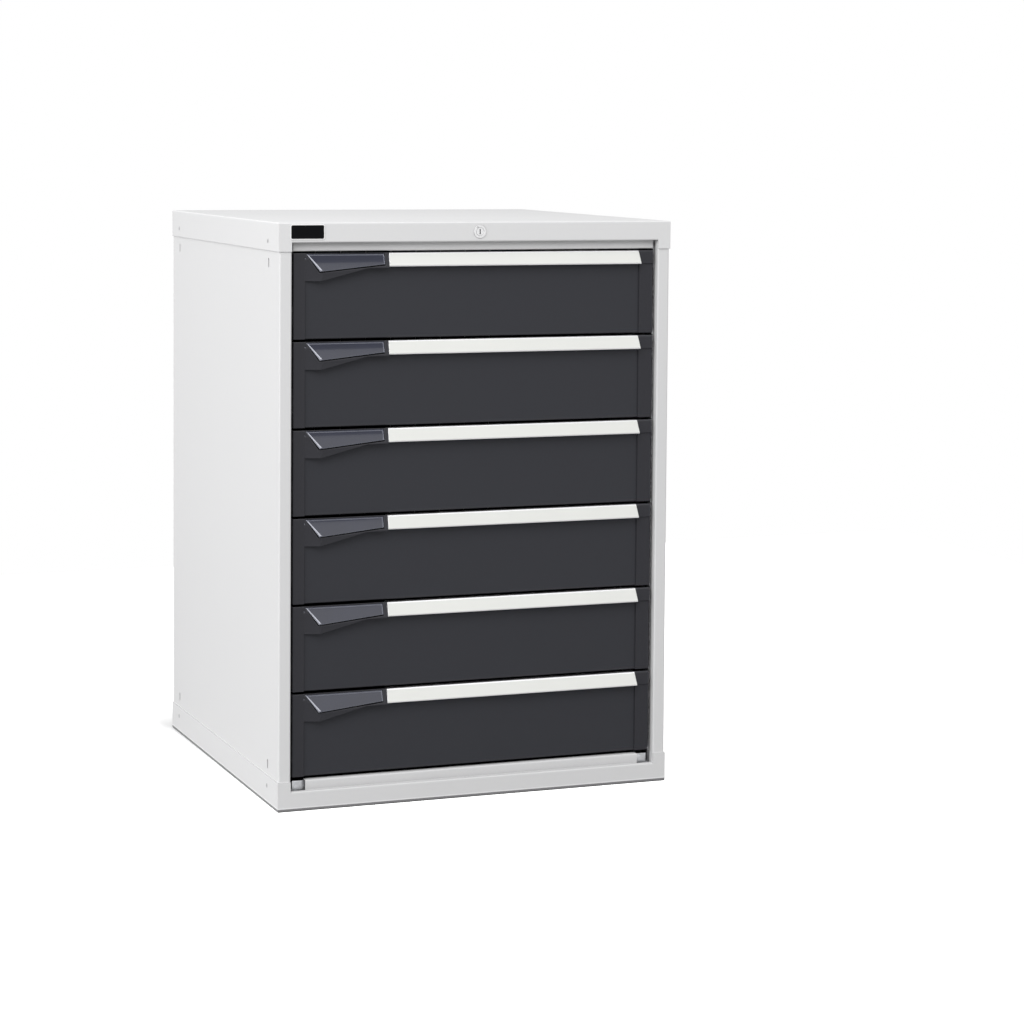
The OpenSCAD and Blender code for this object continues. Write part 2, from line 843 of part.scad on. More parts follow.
// The neck through the steel front, the link behind it, and the hook's arm with its tooth
module hook_arm(z) {
    h = hook_t / 2;
    tip = hook_y - tooth_t;
    path = [[link_y, z - h], [tip, z - h], [tip, z - keeper_h], [hook_y, z - keeper_h],
            [hook_y + hook_heel, z + h],
            [link_y, z + h]];
    block([neck_x - front_x, pivot_y, z - h], [neck_x + neck_w - front_x, link_y + link_t, z + h]);
    block([-hook_x, link_y, z - h], [neck_x + neck_w - front_x, link_y + link_t, z + h]);
    along_x(path, -hook_x, hook_w - hook_x);
}

// The moving members of one drawer's slides, with their rollers and rivets
module drawer_slides(i) {
    z = drawer_z(i) + rail_lift;
    y0 = rail_y + end_gap;
    y1 = tray_end - end_gap;
    half = travel / 2;
    out_y = [rail_y + rail_t + roller_r + half + stop_gap, y1 - roller_r - roller_set];
    in_y = [y0 + roller_r + roller_set, tray_end - rail_t - roller_r - half - stop_gap];
    color(zinc) both_sides() {
        difference() {
            block([member_x - member_t, y0, z - member_h / 2], [member_x, y1, z + member_h / 2]);
            for (y = concat(out_y, in_y)) bar_x(rivet_r, member_x - member_t - cut, member_x + cut, y, z);
        }
        for (y = out_y) slide_roller(member_x, 1, y, z);
        for (y = in_y) slide_roller(member_x - member_t, -1, y, z);
    }
}

// A roller on its rivet, on the side of the member that dir points to
module slide_roller(x, dir, y, z) {
    a = x + dir * washer;
    b = a + dir * roller_w;
    difference() {
        bar_x(roller_r, min(a, b), max(a, b), y, z);
        bar_x(rivet_r + eps, min(a, b) - cut, max(a, b) + cut, y, z);
    }
    c = x - dir * member_t;
    d = b + dir * rivet_head;
    bar_x(rivet_r, min(c, d), max(c, d), y, z);
    e = b + dir * roller_slack;
    bar_x(rivet_r + rivet_rim, min(e, d), max(e, d), y, z);
}

// Lock --------------------------------------------------------------------------------------

module lock_body() {
    z = cab_h - lock_z;
    color("silver") difference() {
        union() {
            bar_y(lock_r, 0, face_y, cover_y, z);
            bar_y(barrel_r, 0, cover_y - eps, face_y + plug_l, z);
            translate([0, stile_y + nut_t, z]) rotate([90, 0, 0])
                cylinder(r = barrel_r + nut_w, h = nut_t, $fn = 6);
        }
        bar_y(plug_r + eps, 0, face_y - cut, face_y + plug_l + cut, z);
    }
}

// The turning plug with its keyway, the rod to the back and the crank
module lock_plug() {
    z = cab_h - lock_z;
    pin = [crank_r * cos(45), crank_r * sin(45)];
    color("silver") {
        difference() {
            bar_y(plug_r, 0, face_y + plug_set, face_y + plug_l, z);
            block([-key_w / 2, face_y - cut, z - key_h / 2], [key_w / 2, face_y + key_d, z + key_h / 2]);
        }
        bar_y(rod_r, 0, face_y + plug_l - 1, crank_y + crank_t, z);
        translate([0, crank_y + crank_t, z]) rotate([90, -45, 0]) linear_extrude(crank_t) union() {
            circle(rod_r + 2);
            translate([0, -rod_r]) square([crank_r, 2 * rod_r]);
            translate([crank_r, 0]) circle(rod_r);
        }
        bar_y(crank_pin_r, pin[0], crank_y + crank_t - 1, bolt_y + bolt_t + crank_out, z + pin[1]);
    }
}

// The locking bar: a slotted head for the crank and one hook for each drawer
module lock_bar() {
    head = cab_h - lock_z + crank_r * sin(45);
    slot = (crank_r - crank_r * cos(45)) / 2 + crank_pin_r + 1;
    high = crank_pin_r + crank_play;
    low = tooth_z(COUNT) - rail_h - rail_lift;
    x = bolt_x;
    color(zinc) {
        difference() {
            block([x - bolt_w / 2, bolt_y, low], [x + bolt_w / 2, bolt_y + bolt_t, head + bolt_end]);
            block([x - slot, bolt_y - cut, head - high], [x + slot, bolt_y + bolt_t + cut, head + high]);
        }
        for (i = [1:COUNT]) bolt_hook(i);
    }
}

// A hook of the locking bar, riding above a drawer's tooth
module bolt_hook(i) {
    z = tooth_z(i) + bolt_gap;
    top = z + tooth_h + bolt_root;
    y1 = crank_y - plate_t - bolt_play;
    y0 = y1 - plate_t;
    path = [[bolt_y + 1, top], [y0, top], [y0, z], [y1, z], [y1, top - plate_t], [bolt_y + 1, top - plate_t]];
    along_x(path, bolt_x - arm_w / 2 - bolt_play, bolt_x + arm_w / 2 + bolt_play);
}

// The channel that guides the locking bar, with its guide loops, and the bracket for the rod
module lock_post() {
    half = bolt_w / 2 + channel_gap;
    x0 = bolt_x - half;
    x1 = bolt_x + half;
    y = bolt_y + bolt_t + crank_out + fit_gap + sheet;
    path = [[x0, y + channel_d], [x0, y], [x1, y], [x1, y + channel_d]];
    color(zinc) {
        along_z(folded_right(path, sheet, bend_r), sheet, cab_h - sheet);
        for (i = [1, 3, 5]) guide_loop(drawer_z(i) + rail_lift - loop_h, y);
        rod_bracket();
    }
}

// An angle under the cover that carries the rear end of the rod
module rod_bracket() {
    y1 = crank_y - bracket_set;
    z = cab_h - lock_z;
    top = cab_h - sheet;
    path = [[y1, z - 2 * rod_r - bracket_t], [y1, top], [y1 - bracket_l, top]];
    difference() {
        along_x(folded(path, bracket_t, bend_r), -bracket_w / 2, bracket_w / 2);
        bar_y(rod_r + eps, 0, y1 - bracket_t - cut, y1 + cut, z);
    }
}

// A loop that holds the locking bar against the channel
module guide_loop(z, y) {
    half = bolt_w / 2 + fit_gap;
    side = half + loop_t;
    low_y = bolt_y - fit_gap;
    difference() {
        block([bolt_x - side, low_y - loop_t, z], [bolt_x + side, y - sheet / 2, z + loop_h]);
        block([bolt_x - half, low_y, z - cut], [bolt_x + half, y - sheet, z + loop_h + cut]);
    }
}

side_left();
side_right();
back_panel();
top_cover();
base();
posts();
rails();
lock_body();
lock_plug();
lock_bar();
lock_post();
screws();
for (i = [1:COUNT]) {
    drawer_tray(i);
    drawer_front(i);
    drawer_handle(i);
    drawer_label(i);
    drawer_grip(i);
    drawer_cap(i);
    drawer_catch(i);
    drawer_slides(i);
}
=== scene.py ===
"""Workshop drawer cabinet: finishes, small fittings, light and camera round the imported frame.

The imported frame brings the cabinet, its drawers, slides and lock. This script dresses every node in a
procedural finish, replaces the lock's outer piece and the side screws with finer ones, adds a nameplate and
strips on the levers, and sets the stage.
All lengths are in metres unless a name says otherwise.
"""

import json
import logging
import math
from collections.abc import Iterable
from dataclasses import dataclass
from enum import Enum

import bmesh
import bpy
from mathutils import Matrix, Vector


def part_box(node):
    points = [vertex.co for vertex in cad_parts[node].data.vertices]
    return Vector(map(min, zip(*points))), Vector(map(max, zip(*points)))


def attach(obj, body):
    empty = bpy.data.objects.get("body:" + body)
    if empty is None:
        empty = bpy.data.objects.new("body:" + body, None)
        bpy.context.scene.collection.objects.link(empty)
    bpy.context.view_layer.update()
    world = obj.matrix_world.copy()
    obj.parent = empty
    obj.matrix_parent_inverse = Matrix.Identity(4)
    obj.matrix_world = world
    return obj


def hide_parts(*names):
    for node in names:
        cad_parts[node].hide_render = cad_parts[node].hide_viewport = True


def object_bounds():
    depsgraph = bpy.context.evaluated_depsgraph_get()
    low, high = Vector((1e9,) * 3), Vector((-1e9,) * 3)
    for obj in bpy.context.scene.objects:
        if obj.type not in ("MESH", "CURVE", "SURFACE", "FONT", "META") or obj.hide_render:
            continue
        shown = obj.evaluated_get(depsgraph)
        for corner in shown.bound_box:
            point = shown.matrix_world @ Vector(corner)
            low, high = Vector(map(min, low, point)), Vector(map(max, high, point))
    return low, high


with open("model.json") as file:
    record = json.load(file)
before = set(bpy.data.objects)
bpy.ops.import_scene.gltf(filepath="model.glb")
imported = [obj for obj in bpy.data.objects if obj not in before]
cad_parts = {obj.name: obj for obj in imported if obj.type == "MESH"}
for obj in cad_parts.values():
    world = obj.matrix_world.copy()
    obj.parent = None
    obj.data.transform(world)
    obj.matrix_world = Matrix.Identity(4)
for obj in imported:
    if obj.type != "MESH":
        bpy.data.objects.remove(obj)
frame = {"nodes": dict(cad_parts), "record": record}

logging.basicConfig(level=logging.INFO, format="%(name)s: %(message)s")
LOG = logging.getLogger("cabinet")

CAD_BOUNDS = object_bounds()
DRAWERS = range(1, 7)
MM = 0.001

Colour = tuple[float, float, float]
Point = tuple[float, float, float]
Flat = tuple[float, float]

BLACK: Colour = (0.0, 0.0, 0.0)
WHITE: Colour = (1.0, 1.0, 1.0)


class Body(Enum):
    """The bodies that the fittings ride on, a numbered one by the beginning of its name."""

    CABINET = "cabinet"
    CATCH = "catch"

    def numbered(self, number: int) -> str:
        """The name of one of several such bodies."""
        return f"{self.value}_{number}"


class Side(Enum):
    """Which side of the cabinet a piece lies on, as a sign along X."""

    LEFT = -1
    RIGHT = 1


# Node helpers ----------------------------------------------------------------------------------


class Graph:
    """A thin writer for one node tree, so that materials and groups read as short lists of steps.

    A Mix node has the same input names for each type of value, so its colour sockets go by number.
    """

    MIX_INPUTS = (0, 6, 7)
    MIX_OUTPUT = 2

    def __init__(self, tree: bpy.types.NodeTree) -> None:
        """Starts on a tree.

        Args:
            tree: The shader or geometry tree to write to.
        """
        self.tree = tree
        self.tree.nodes.clear()

    def node(self, kind: str, **settings: object) -> bpy.types.Node:
        """Adds a node.

        Args:
            kind: The node's type name.
            settings: Properties to set on it.

        Returns:
            The new node.
        """
        made = self.tree.nodes.new(kind)
        for name, value in settings.items():
            setattr(made, name, value)
        return made

    def put(self, node: bpy.types.Node, **values: object) -> bpy.types.Node:
        """Sets a node's inputs by name, with a plain value or a socket to link.

        Args:
            node: The node.
            values: Input names, with an underscore for each space, and what goes in.

        Returns:
            The node.
        """
        for name, value in values.items():
            self.feed(node.inputs[name.replace("_", " ")], value)
        return node

    def feed(self, socket: bpy.types.NodeSocket, value: object) -> None:
        """Sets an input to a plain value, where a colour is made opaque, or links a socket to it.

        Args:
            socket: The input.
            value: The plain value or the socket.
        """
        if isinstance(value, bpy.types.NodeSocket):
            self.link(value, socket)
        elif isinstance(socket, bpy.types.NodeSocketColor):
            socket.default_value = (*value, 1.0)
        else:
            socket.default_value = value

    def link(self, source: bpy.types.NodeSocket, target: bpy.types.NodeSocket) -> None:
        """Links two sockets."""
        self.tree.links.new(source, target)

    def maths(self, operation: str, a: object, b: object = 0.0, clamp: bool = False) -> bpy.types.NodeSocket:
        """Adds a Math node.

        Args:
            operation: The operation's name.
            a: First value or socket.
            b: Second value or socket.
            clamp: Whether the result stays from 0 to 1.

        Returns:
            The result's socket.
        """
        made = self.node("ShaderNodeMath", operation=operation, use_clamp=clamp)
        for socket, value in zip(made.inputs, (a, b)):
            self.feed(socket, value)
        return made.outputs[0]

    def times(self, a: object, b: object, clamp: bool = False) -> bpy.types.NodeSocket:
        """Multiplies two values."""
        return self.maths("MULTIPLY", a, b, clamp)

    def plus(self, a: object, b: object, share: object, clamp: bool = False) -> bpy.types.NodeSocket:
        """Adds a share of the second value to the first one."""
        return self.maths("ADD", a, self.times(b, share), clamp)

    def mix(self, factor: object, a: object, b: object) -> bpy.types.NodeSocket:
        """Mixes two colours.

        Args:
            factor: 0 for the first, 1 for the second.
            a: First colour or socket.
            b: Second colour or socket.

        Returns:
            The mixed colour's socket.
        """
        made = self.node("ShaderNodeMix", data_type="RGBA")
        for place, value in zip(self.MIX_INPUTS, (factor, a, b)):
            self.feed(made.inputs[place], value)
        return made.outputs[self.MIX_OUTPUT]

    def place(self) -> bpy.types.NodeSocket:
        """The point on the piece, in the frame's own coordinates."""
        return self.node("ShaderNodeTexCoord").outputs["Object"]

    def show(self, shader: bpy.types.Node, kind: str = "Material") -> None:
        """Makes a shader the surface of the material, or of the world."""
        out = self.node(f"ShaderNodeOutput{kind}")
        self.link(shader.outputs[0], out.inputs["Surface"])

    def axes(self, vector: bpy.types.NodeSocket) -> bpy.types.NodeOutputs:
        """A vector's X, Y and Z."""
        return self.put(self.node("ShaderNodeSeparateXYZ"), Vector=vector).outputs

    def stretched(self, factor: float) -> bpy.types.NodeSocket:
        """The piece's coordinates drawn out along X, for lines that run that way."""
        made = self.put(self.node("ShaderNodeMapping"), Vector=self.place(), Scale=Vector((factor, 1.0, 1.0)))
        return made.outputs[0]

    def noise(self, scale: object, detail: float = 2.0, roughness: float = 0.5,
              where: bpy.types.NodeSocket | None = None) -> bpy.types.NodeSocket:
        """Adds a noise texture.

        Args:
            scale: Waves per metre.
            detail: Octaves.
            roughness: How strong the fine octaves are.
            where: The coordinates, or None for the piece's own.

        Returns:
            The noise value's socket.
        """
        made = self.node("ShaderNodeTexNoise")
        self.put(made, Vector=where or self.place(), Scale=scale, Detail=detail, Roughness=roughness)
        return made.outputs["Fac"]


def new_group(name: str, inputs: dict[str, float], outputs: Iterable[str],
              vectors: Iterable[str] = ()) -> tuple[Graph, bpy.types.NodeOutputs, bpy.types.NodeInputs]:
    """Makes an empty shader node group.

    Args:
        name: The group's name.
        inputs: Names of the inputs, with their defaults.
        outputs: Names of the outputs that are numbers.
        vectors: Names of the outputs that are vectors.

    Returns:
        The group's graph, what it is given, and what it puts out.
    """
    tree = bpy.data.node_groups.new(name, "ShaderNodeTree")
    for label, default in inputs.items():
        tree.interface.new_socket(label, in_out="INPUT", socket_type="NodeSocketFloat").default_value = default
    for kind, labels in (("NodeSocketFloat", outputs), ("NodeSocketVector", vectors)):
        for label in labels:
            tree.interface.new_socket(label, in_out="OUTPUT", socket_type=kind)
    graph = Graph(tree)
    return graph, graph.node("NodeGroupInput").outputs, graph.node("NodeGroupOutput").inputs


class Effects:
    """Shader node groups that several finishes share, each built once."""

    BEVEL_SAMPLES = 6
    HOLLOW_SAMPLES = 8
    LEAN_GAIN = 2.5
    WAYS = (("Upper", "Z", 1.0), ("Lower", "Z", -1.0), ("Left", "X", -1.0), ("Right", "X", 1.0))
    WIDE_GRAIN = 0.12
    MARK_STRETCH = 0.04
    MARK_FINENESS = 20.0
    MARK_FROM = 0.62
    PATCH_FROM = 0.45

    def __init__(self) -> None:
        """Builds all groups."""
        self.peel = self._peel()
        self.edges = self._edges()
        self.mottle = self._mottle()
        self.handling = self._handling()
        self.hollows = {alone: self._hollows(alone) for alone in (True, False)}

    @staticmethod
    def _peel() -> bpy.types.NodeTree:
        """The fine orange peel of powder coat and the grain of moulded plastic, as a height."""
        graph, given, out = new_group("skin_grain", {"Scale": 900.0, "Coarse": 0.3}, ("Height",))
        fine = graph.noise(given["Scale"], detail=3.0)
        wide = graph.noise(graph.times(given["Scale"], Effects.WIDE_GRAIN), detail=1.0)
        graph.link(graph.plus(fine, wide, given["Coarse"]), out["Height"])
        return graph.tree

    @staticmethod
    def _edges() -> bpy.types.NodeTree:
        """Softened normal, and masks of the edges by the way that each one is turned."""
        graph, given, out = new_group("soft_edges", {"Radius": 0.001, "Reach": 0.001, "Gain": 3.0},
                                      ("Mask", "Upper", "Lower", "Left", "Right"), ("Normal",))
        fold, wide = (graph.node("ShaderNodeBevel", samples=Effects.BEVEL_SAMPLES) for _ in range(2))
        graph.put(fold, Radius=given["Radius"])
        graph.put(wide, Radius=given["Reach"])
        graph.link(fold.outputs[0], out["Normal"])
        true = graph.node("ShaderNodeNewGeometry").outputs["True Normal"]
        dot = graph.node("ShaderNodeVectorMath", operation="DOT_PRODUCT")
        graph.link(wide.outputs[0], dot.inputs[0])
        graph.link(true, dot.inputs[1])
        turn = graph.maths("SUBTRACT", 1.0, dot.outputs["Value"], clamp=True)
        mask = graph.times(turn, given["Gain"], clamp=True)
        graph.link(mask, out["Mask"])
        way = graph.axes(wide.outputs[0])
        for label, axis, sign in Effects.WAYS:
            lean = graph.times(way[axis], sign * Effects.LEAN_GAIN, clamp=True)
            graph.link(graph.times(mask, lean), out[label])
        return graph.tree

    @staticmethod
    def _hollows(alone: bool) -> bpy.types.NodeTree:
        """How far a point lies in a recess, as a mask for painting shade there.

        Args:
            alone: Whether only the piece itself counts, and not its neighbours.

        Returns:
            The group.
        """
        graph, given, out = new_group("recess_alone" if alone else "recess", {"Reach": 0.02}, ("Mask",))
        shade = graph.node("ShaderNodeAmbientOcclusion", samples=Effects.HOLLOW_SAMPLES, only_local=alone)
        graph.put(shade, Distance=given["Reach"])
        graph.link(graph.maths("SUBTRACT", 1.0, shade.outputs["AO"], clamp=True), out["Mask"])
        return graph.tree

    @staticmethod
    def _mottle() -> bpy.types.NodeTree:
        """Slow, faint variation of tone over a large panel, from -1 to 1."""
        graph, given, out = new_group("tone_drift", {"Scale": 3.0}, ("Fac",))
        value = graph.noise(given["Scale"], detail=2.0)
        graph.link(graph.times(graph.maths("SUBTRACT", value, 0.5), 2.0), out["Fac"])
        return graph.tree

    @staticmethod
    def _handling() -> bpy.types.NodeTree:
        """Fine rubbing marks along X with gaps between them, as a mask."""
        graph, given, out = new_group("rub_marks", {"Scale": 60.0, "Amount": 0.5}, ("Mask",))
        along = graph.stretched(Effects.MARK_STRETCH)
        fine = graph.times(given["Scale"], Effects.MARK_FINENESS)
        lines = graph.noise(fine, detail=3.0, roughness=0.6, where=along)
        patches = graph.noise(given["Scale"], detail=2.0)
        mask = graph.times(graph.maths("GREATER_THAN", lines, Effects.MARK_FROM),
                           graph.maths("SUBTRACT", patches, Effects.PATCH_FROM, clamp=True))
        graph.link(graph.times(mask, given["Amount"], clamp=True), out["Mask"])
        return graph.tree


# Finishes --------------------------------------------------------------------------------------


class Surface:
    """A material being built round its Principled BSDF, with short ways to feed it."""

    def __init__(self, finish: "Finish", effects: Effects) -> None:
        """Makes the material with what stays the same all over.

        Args:
            finish: The finish that it shows.
            effects: The shared node groups.
        """
        self.effects = effects
        self.material = bpy.data.materials.new(finish.name)
        self.material.use_nodes = True
        self.material.diffuse_color = (*finish.colour, 1.0)
        self.graph = Graph(self.material.node_tree)
        self.shader = self.graph.node("ShaderNodeBsdfPrincipled")
        self.graph.put(self.shader, Base_Color=finish.colour, Roughness=finish.roughness,
                       Metallic=finish.metallic, Specular_IOR_Level=finish.specular, Coat_Weight=finish.coat)
        self.graph.show(self.shader)

    def effect(self, tree: bpy.types.NodeTree, **values: float) -> bpy.types.NodeOutputs:
        """Places a shared effect.

        Args:
            tree: The effect's group.
            values: The effect's inputs.

        Returns:
            The effect's outputs.
        """
        return self.graph.put(self.graph.node("ShaderNodeGroup", node_tree=tree), **values).outputs

    def paint(self, colour: bpy.types.NodeSocket) -> None:
        """Feeds the base colour."""
        self.graph.link(colour, self.shader.inputs["Base Color"])

    def roughen(self, roughness: bpy.types.NodeSocket) -> None:
        """Feeds the roughness."""
        self.graph.link(roughness, self.shader.inputs["Roughness"])

    def bump(self, height: bpy.types.NodeSocket, depth: float, normal: bpy.types.NodeSocket) -> None:
        """Gives the shader a bumped normal.

        Args:
            height: The height's socket, about 0 to 1.
            depth: What a height of 1 is, in metres.
            normal: The normal under the bump.
        """
        made = self.graph.put(self.graph.node("ShaderNodeBump"), Height=height, Distance=depth, Strength=1.0,
                              Normal=normal)
        self.graph.link(made.outputs[0], self.shader.inputs["Normal"])


@dataclass(frozen=True)
class Finish:
    """What all finishes have: a name, a colour and the values that stay the same all over."""

    name: str
    colour: Colour
    roughness: float = 0.5
    metallic: float = 0.0
    specular: float = 0.5
    coat: float = 0.0

    def material(self, effects: Effects) -> bpy.types.Material:
        """Builds the material.

        Args:
            effects: The shared node groups.

        Returns:
            The material.
        """
        surface = Surface(self, effects)
        self.texture(surface)
        return surface.material

    def texture(self, surface: Surface) -> None:
        """Adds what varies over the surface, which each finish does in its own way."""
        raise NotImplementedError

    def toned(self, factor: float) -> Colour:
        """The finish's colour times a factor, up to white."""
        return tuple(min(c * factor, 1.0) for c in self.colour)


@dataclass(frozen=True)
class PowderCoat(Finish):
    """Powder coat on folded sheet steel: orange peel, faint drift of tone, painted highlights on the folds and
    painted shade in recesses.
    """

    grain: float = 1100.0
    coarse: float = 0.6
    depth: float = 0.00002
    fold_r: float = 0.0012
    tone_scale: float = 2.6
    drift: float = 0.02
    bright: float = 1.25
    bright_share: float = 0.1
    rough_drift: float = 0.04
    edge_highlight_colour: Colour = (0.9, 0.9, 0.91)
    edge_highlight_share: float = 0.25
    edge_reach: float = 0.0012
    edge_gain: float = 2.5
    lower_highlight_share: float = 0.0
    upper_shade_share: float = 0.0
    upper_shade_colour: Colour = (0.5, 0.5, 0.5)
    recess_shade_share: float = 0.0
    recess_shade_reach: float = 0.02
    hollow_alone: bool = True
    floor_shadow_height: float = 0.0
    floor_shadow_colour: Colour = (0.2, 0.2, 0.2)
    floor_highlight_to: float = 1.45
    floor_highlight_share: float = 0.8

    def texture(self, surface: Surface) -> None:
        """Adds the coat's grain, its drift of tone, painted highlights on its folds and painted shade in its
        recesses.

        Args:
            surface: The material being built.
        """
        graph, effects = surface.graph, surface.effects
        peel = surface.effect(effects.peel, Scale=self.grain, Coarse=self.coarse)
        edges = surface.effect(effects.edges, Radius=self.fold_r, Reach=self.edge_reach, Gain=self.edge_gain)
        drift = surface.effect(effects.mottle, Scale=self.tone_scale)["Fac"]
        tone = graph.maths("ADD", graph.times(drift, self.drift), self.bright_share, clamp=True)
        paint = graph.mix(tone, self.colour, self.toned(self.bright))
        # Painted highlight: the folds, and the lower edges where a lower share is given, are painted paler.
        share = graph.times(edges["Mask"], self.edge_highlight_share)
        if self.lower_highlight_share:
            share = graph.plus(share, edges["Lower"], self.lower_highlight_share, clamp=True)
        paint = graph.mix(share, paint, self.edge_highlight_colour)
        # Painted shade: the upper edges are painted darker.
        if self.upper_shade_share:
            paint = graph.mix(graph.times(edges["Upper"], self.upper_shade_share), paint, self.upper_shade_colour)
        # Painted shade: recesses are painted darker, towards black.
        if self.recess_shade_share:
            hollow = surface.effect(effects.hollows[self.hollow_alone], Reach=self.recess_shade_reach)["Mask"]
            paint = graph.mix(graph.times(hollow, self.recess_shade_share), paint, BLACK)
        # Painted shadow along the foot of the piece, with a painted highlight line above it.
        if self.floor_shadow_height:
            paint = self._paint_floor_shadow(graph, paint)
        surface.paint(paint)
        surface.roughen(graph.plus(self.roughness, drift, self.rough_drift))
        surface.bump(peel["Height"], self.depth, edges["Normal"])

    def _paint_floor_shadow(self, graph: Graph, paint: bpy.types.NodeSocket) -> bpy.types.NodeSocket:
        """Paints a shadow on the fold that the cabinet stands on, with a painted highlight line above it.

        Args:
            graph: The material's graph.
            paint: The paint's colour.

        Returns:
            The colour with the line.
        """
        height = graph.axes(graph.place())["Z"]
        # Painted highlight in a band just above the foot, then painted shadow on the foot itself.
        rubbing_and_highlight = graph.maths("LESS_THAN", height, self.floor_shadow_height * self.floor_highlight_to)
        paint = graph.mix(graph.times(rubbing_and_highlight, self.floor_highlight_share), paint, self.edge_highlight_colour)
        return graph.mix(graph.maths("LESS_THAN", height, self.floor_shadow_height), paint, self.floor_shadow_colour)


@dataclass(frozen=True)
class MouldedPlastic(Finish):
    """Injection-moulded plastic: a fine spark-eroded grain, smoother on the upper edges, with a painted
    highlight along them.
    """

    grain: float = 2600.0
    coarse: float = 0.2
    depth: float = 0.00003
    edge_r: float = 0.0008
    edge_reach: float = 0.0045
    edge_highlight_colour: Colour = (0.12, 0.12, 0.13)
    edge_highlight_share: float = 0.5
    edge_gain: float = 3.0
    edge_gloss: float = 0.2

    def texture(self, surface: Surface) -> None:
        """Adds the grain, and the painted highlight and lower roughness on the upper edges.

        Args:
            surface: The material being built.
        """
        graph, effects = surface.graph, surface.effects
        grain = surface.effect(effects.peel, Scale=self.grain, Coarse=self.coarse)
        edges = surface.effect(effects.edges, Radius=self.edge_r, Reach=self.edge_reach, Gain=self.edge_gain)
        # Painted highlight: the upper edges are painted paler, and are less rough.
        share = graph.times(edges["Upper"], self.edge_highlight_share)
        surface.paint(graph.mix(share, self.colour, self.edge_highlight_colour))
        surface.roughen(graph.plus(self.roughness, share, -self.edge_gloss, clamp=True))
        surface.bump(grain["Height"], self.depth, edges["Normal"])


@dataclass(frozen=True)
class PolishedPlastic(Finish):
    """Clear-coated plastic of the thumb levers: smooth, with faint flow marks and painted highlights on its
    edges.
    """

    flow: float = 25.0
    flow_share: float = 0.5
    depth: float = 0.00002
    pale: float = 1.6
    marks: float = 70.0
    marks_share: float = 0.5
    marks_rough: float = 0.4
    edge_r: float = 0.0007
    edge_reach: float = 0.0035
    edge_gain: float = 5.0
    edge_highlight_colour: Colour = (0.17, 0.18, 0.24)
    edge_highlight_share: float = 0.9
    glint_colour: Colour = (0.5, 0.52, 0.6)

    def texture(self, surface: Surface) -> None:
        """Adds the flow marks, the rubbing marks and the painted highlights on the edges.

        Args:
            surface: The material being built.
        """
        graph, effects = surface.graph, surface.effects
        edges = surface.effect(effects.edges, Radius=self.edge_r, Reach=self.edge_reach, Gain=self.edge_gain)
        drift = surface.effect(effects.mottle, Scale=self.flow)["Fac"]
        rubbing_and_highlight = surface.effect(effects.handling, Scale=self.marks, Amount=self.marks_share)["Mask"]
        tone = graph.maths("ADD", graph.times(drift, self.flow_share), self.flow_share, clamp=True)
        base = graph.mix(tone, self.colour, self.toned(self.pale))
        # Painted highlights: the upper and right edges are painted paler, the left edges paler still as a
        # glint.
        rim = graph.maths("MAXIMUM", edges["Upper"], edges["Right"])
        rim_highlit = graph.mix(graph.times(rim, self.edge_highlight_share), base, self.edge_highlight_colour)
        surface.paint(graph.mix(graph.times(edges["Left"], self.edge_highlight_share), rim_highlit, self.glint_colour))
        surface.roughen(graph.plus(self.roughness, rubbing_and_highlight, self.marks_rough))
        surface.bump(drift, self.depth, edges["Normal"])


@dataclass(frozen=True)
class ZincPlate(Finish):
    """Galvanised sheet: pale spangles of differing tone and gloss, with fine rolling marks."""

    spangle: float = 190.0
    dull: float = 0.72
    dull_rough: float = 0.18
    marks: float = 40.0
    marks_share: float = 0.8
    marks_rough: float = 0.2
    depth: float = 0.00001
    edge_r: float = 0.0005

    def texture(self, surface: Surface) -> None:
        """Adds the spangles and the rolling marks.

        Args:
            surface: The material being built.
        """
        graph, effects = surface.graph, surface.effects
        cells = graph.put(graph.node("ShaderNodeTexVoronoi"), Vector=graph.place(), Scale=self.spangle)
        tone = graph.node("ShaderNodeSeparateColor")
        graph.link(cells.outputs["Color"], tone.inputs[0])
        marks = surface.effect(effects.handling, Scale=self.marks, Amount=self.marks_share)["Mask"]
        surface.paint(graph.mix(tone.outputs[0], self.toned(self.dull), self.colour))
        rough = graph.plus(self.roughness, tone.outputs[1], self.dull_rough)
        surface.roughen(graph.plus(rough, marks, self.marks_rough, clamp=True))
        edges = surface.effect(effects.edges, Radius=self.edge_r, Reach=self.edge_r, Gain=1.0)
        surface.bump(tone.outputs[2], self.depth, edges["Normal"])


@dataclass(frozen=True)
class TurnedMetal(Finish):
    """Plated turned metal: fine rings round an axis along Y, in radians for each metre, and softened edges."""

    axis: Point = (0.0, 0.0, 0.0)
    rings: float = 16328.0
    depth: float = 0.000004
    grain: float = 500.0
    grain_rough: float = 0.15
    dull: float = 0.7
    edge_r: float = 0.0004
    edge_gain: float = 2.0

    def texture(self, surface: Surface) -> None:
        """Adds the rings and the grain.

        Args:
            surface: The material being built.
        """
        graph = surface.graph
        centre = graph.node("ShaderNodeMapping")
        graph.put(centre, Vector=graph.place(), Location=-Vector(self.axis), Scale=Vector((1.0, 0.0, 1.0)))
        radius = graph.node("ShaderNodeVectorMath", operation="LENGTH")
        graph.link(centre.outputs[0], radius.inputs[0])
        wave = graph.maths("SINE", graph.times(radius.outputs["Value"], self.rings))
        edges = surface.effect(surface.effects.edges, Radius=self.edge_r, Reach=self.edge_r,
                               Gain=self.edge_gain)
        marks = graph.noise(self.grain, detail=3.0)
        surface.paint(graph.mix(marks, self.toned(self.dull), self.colour))
        surface.roughen(graph.plus(self.roughness, marks, self.grain_rough))
        surface.bump(wave, self.depth, edges["Normal"])


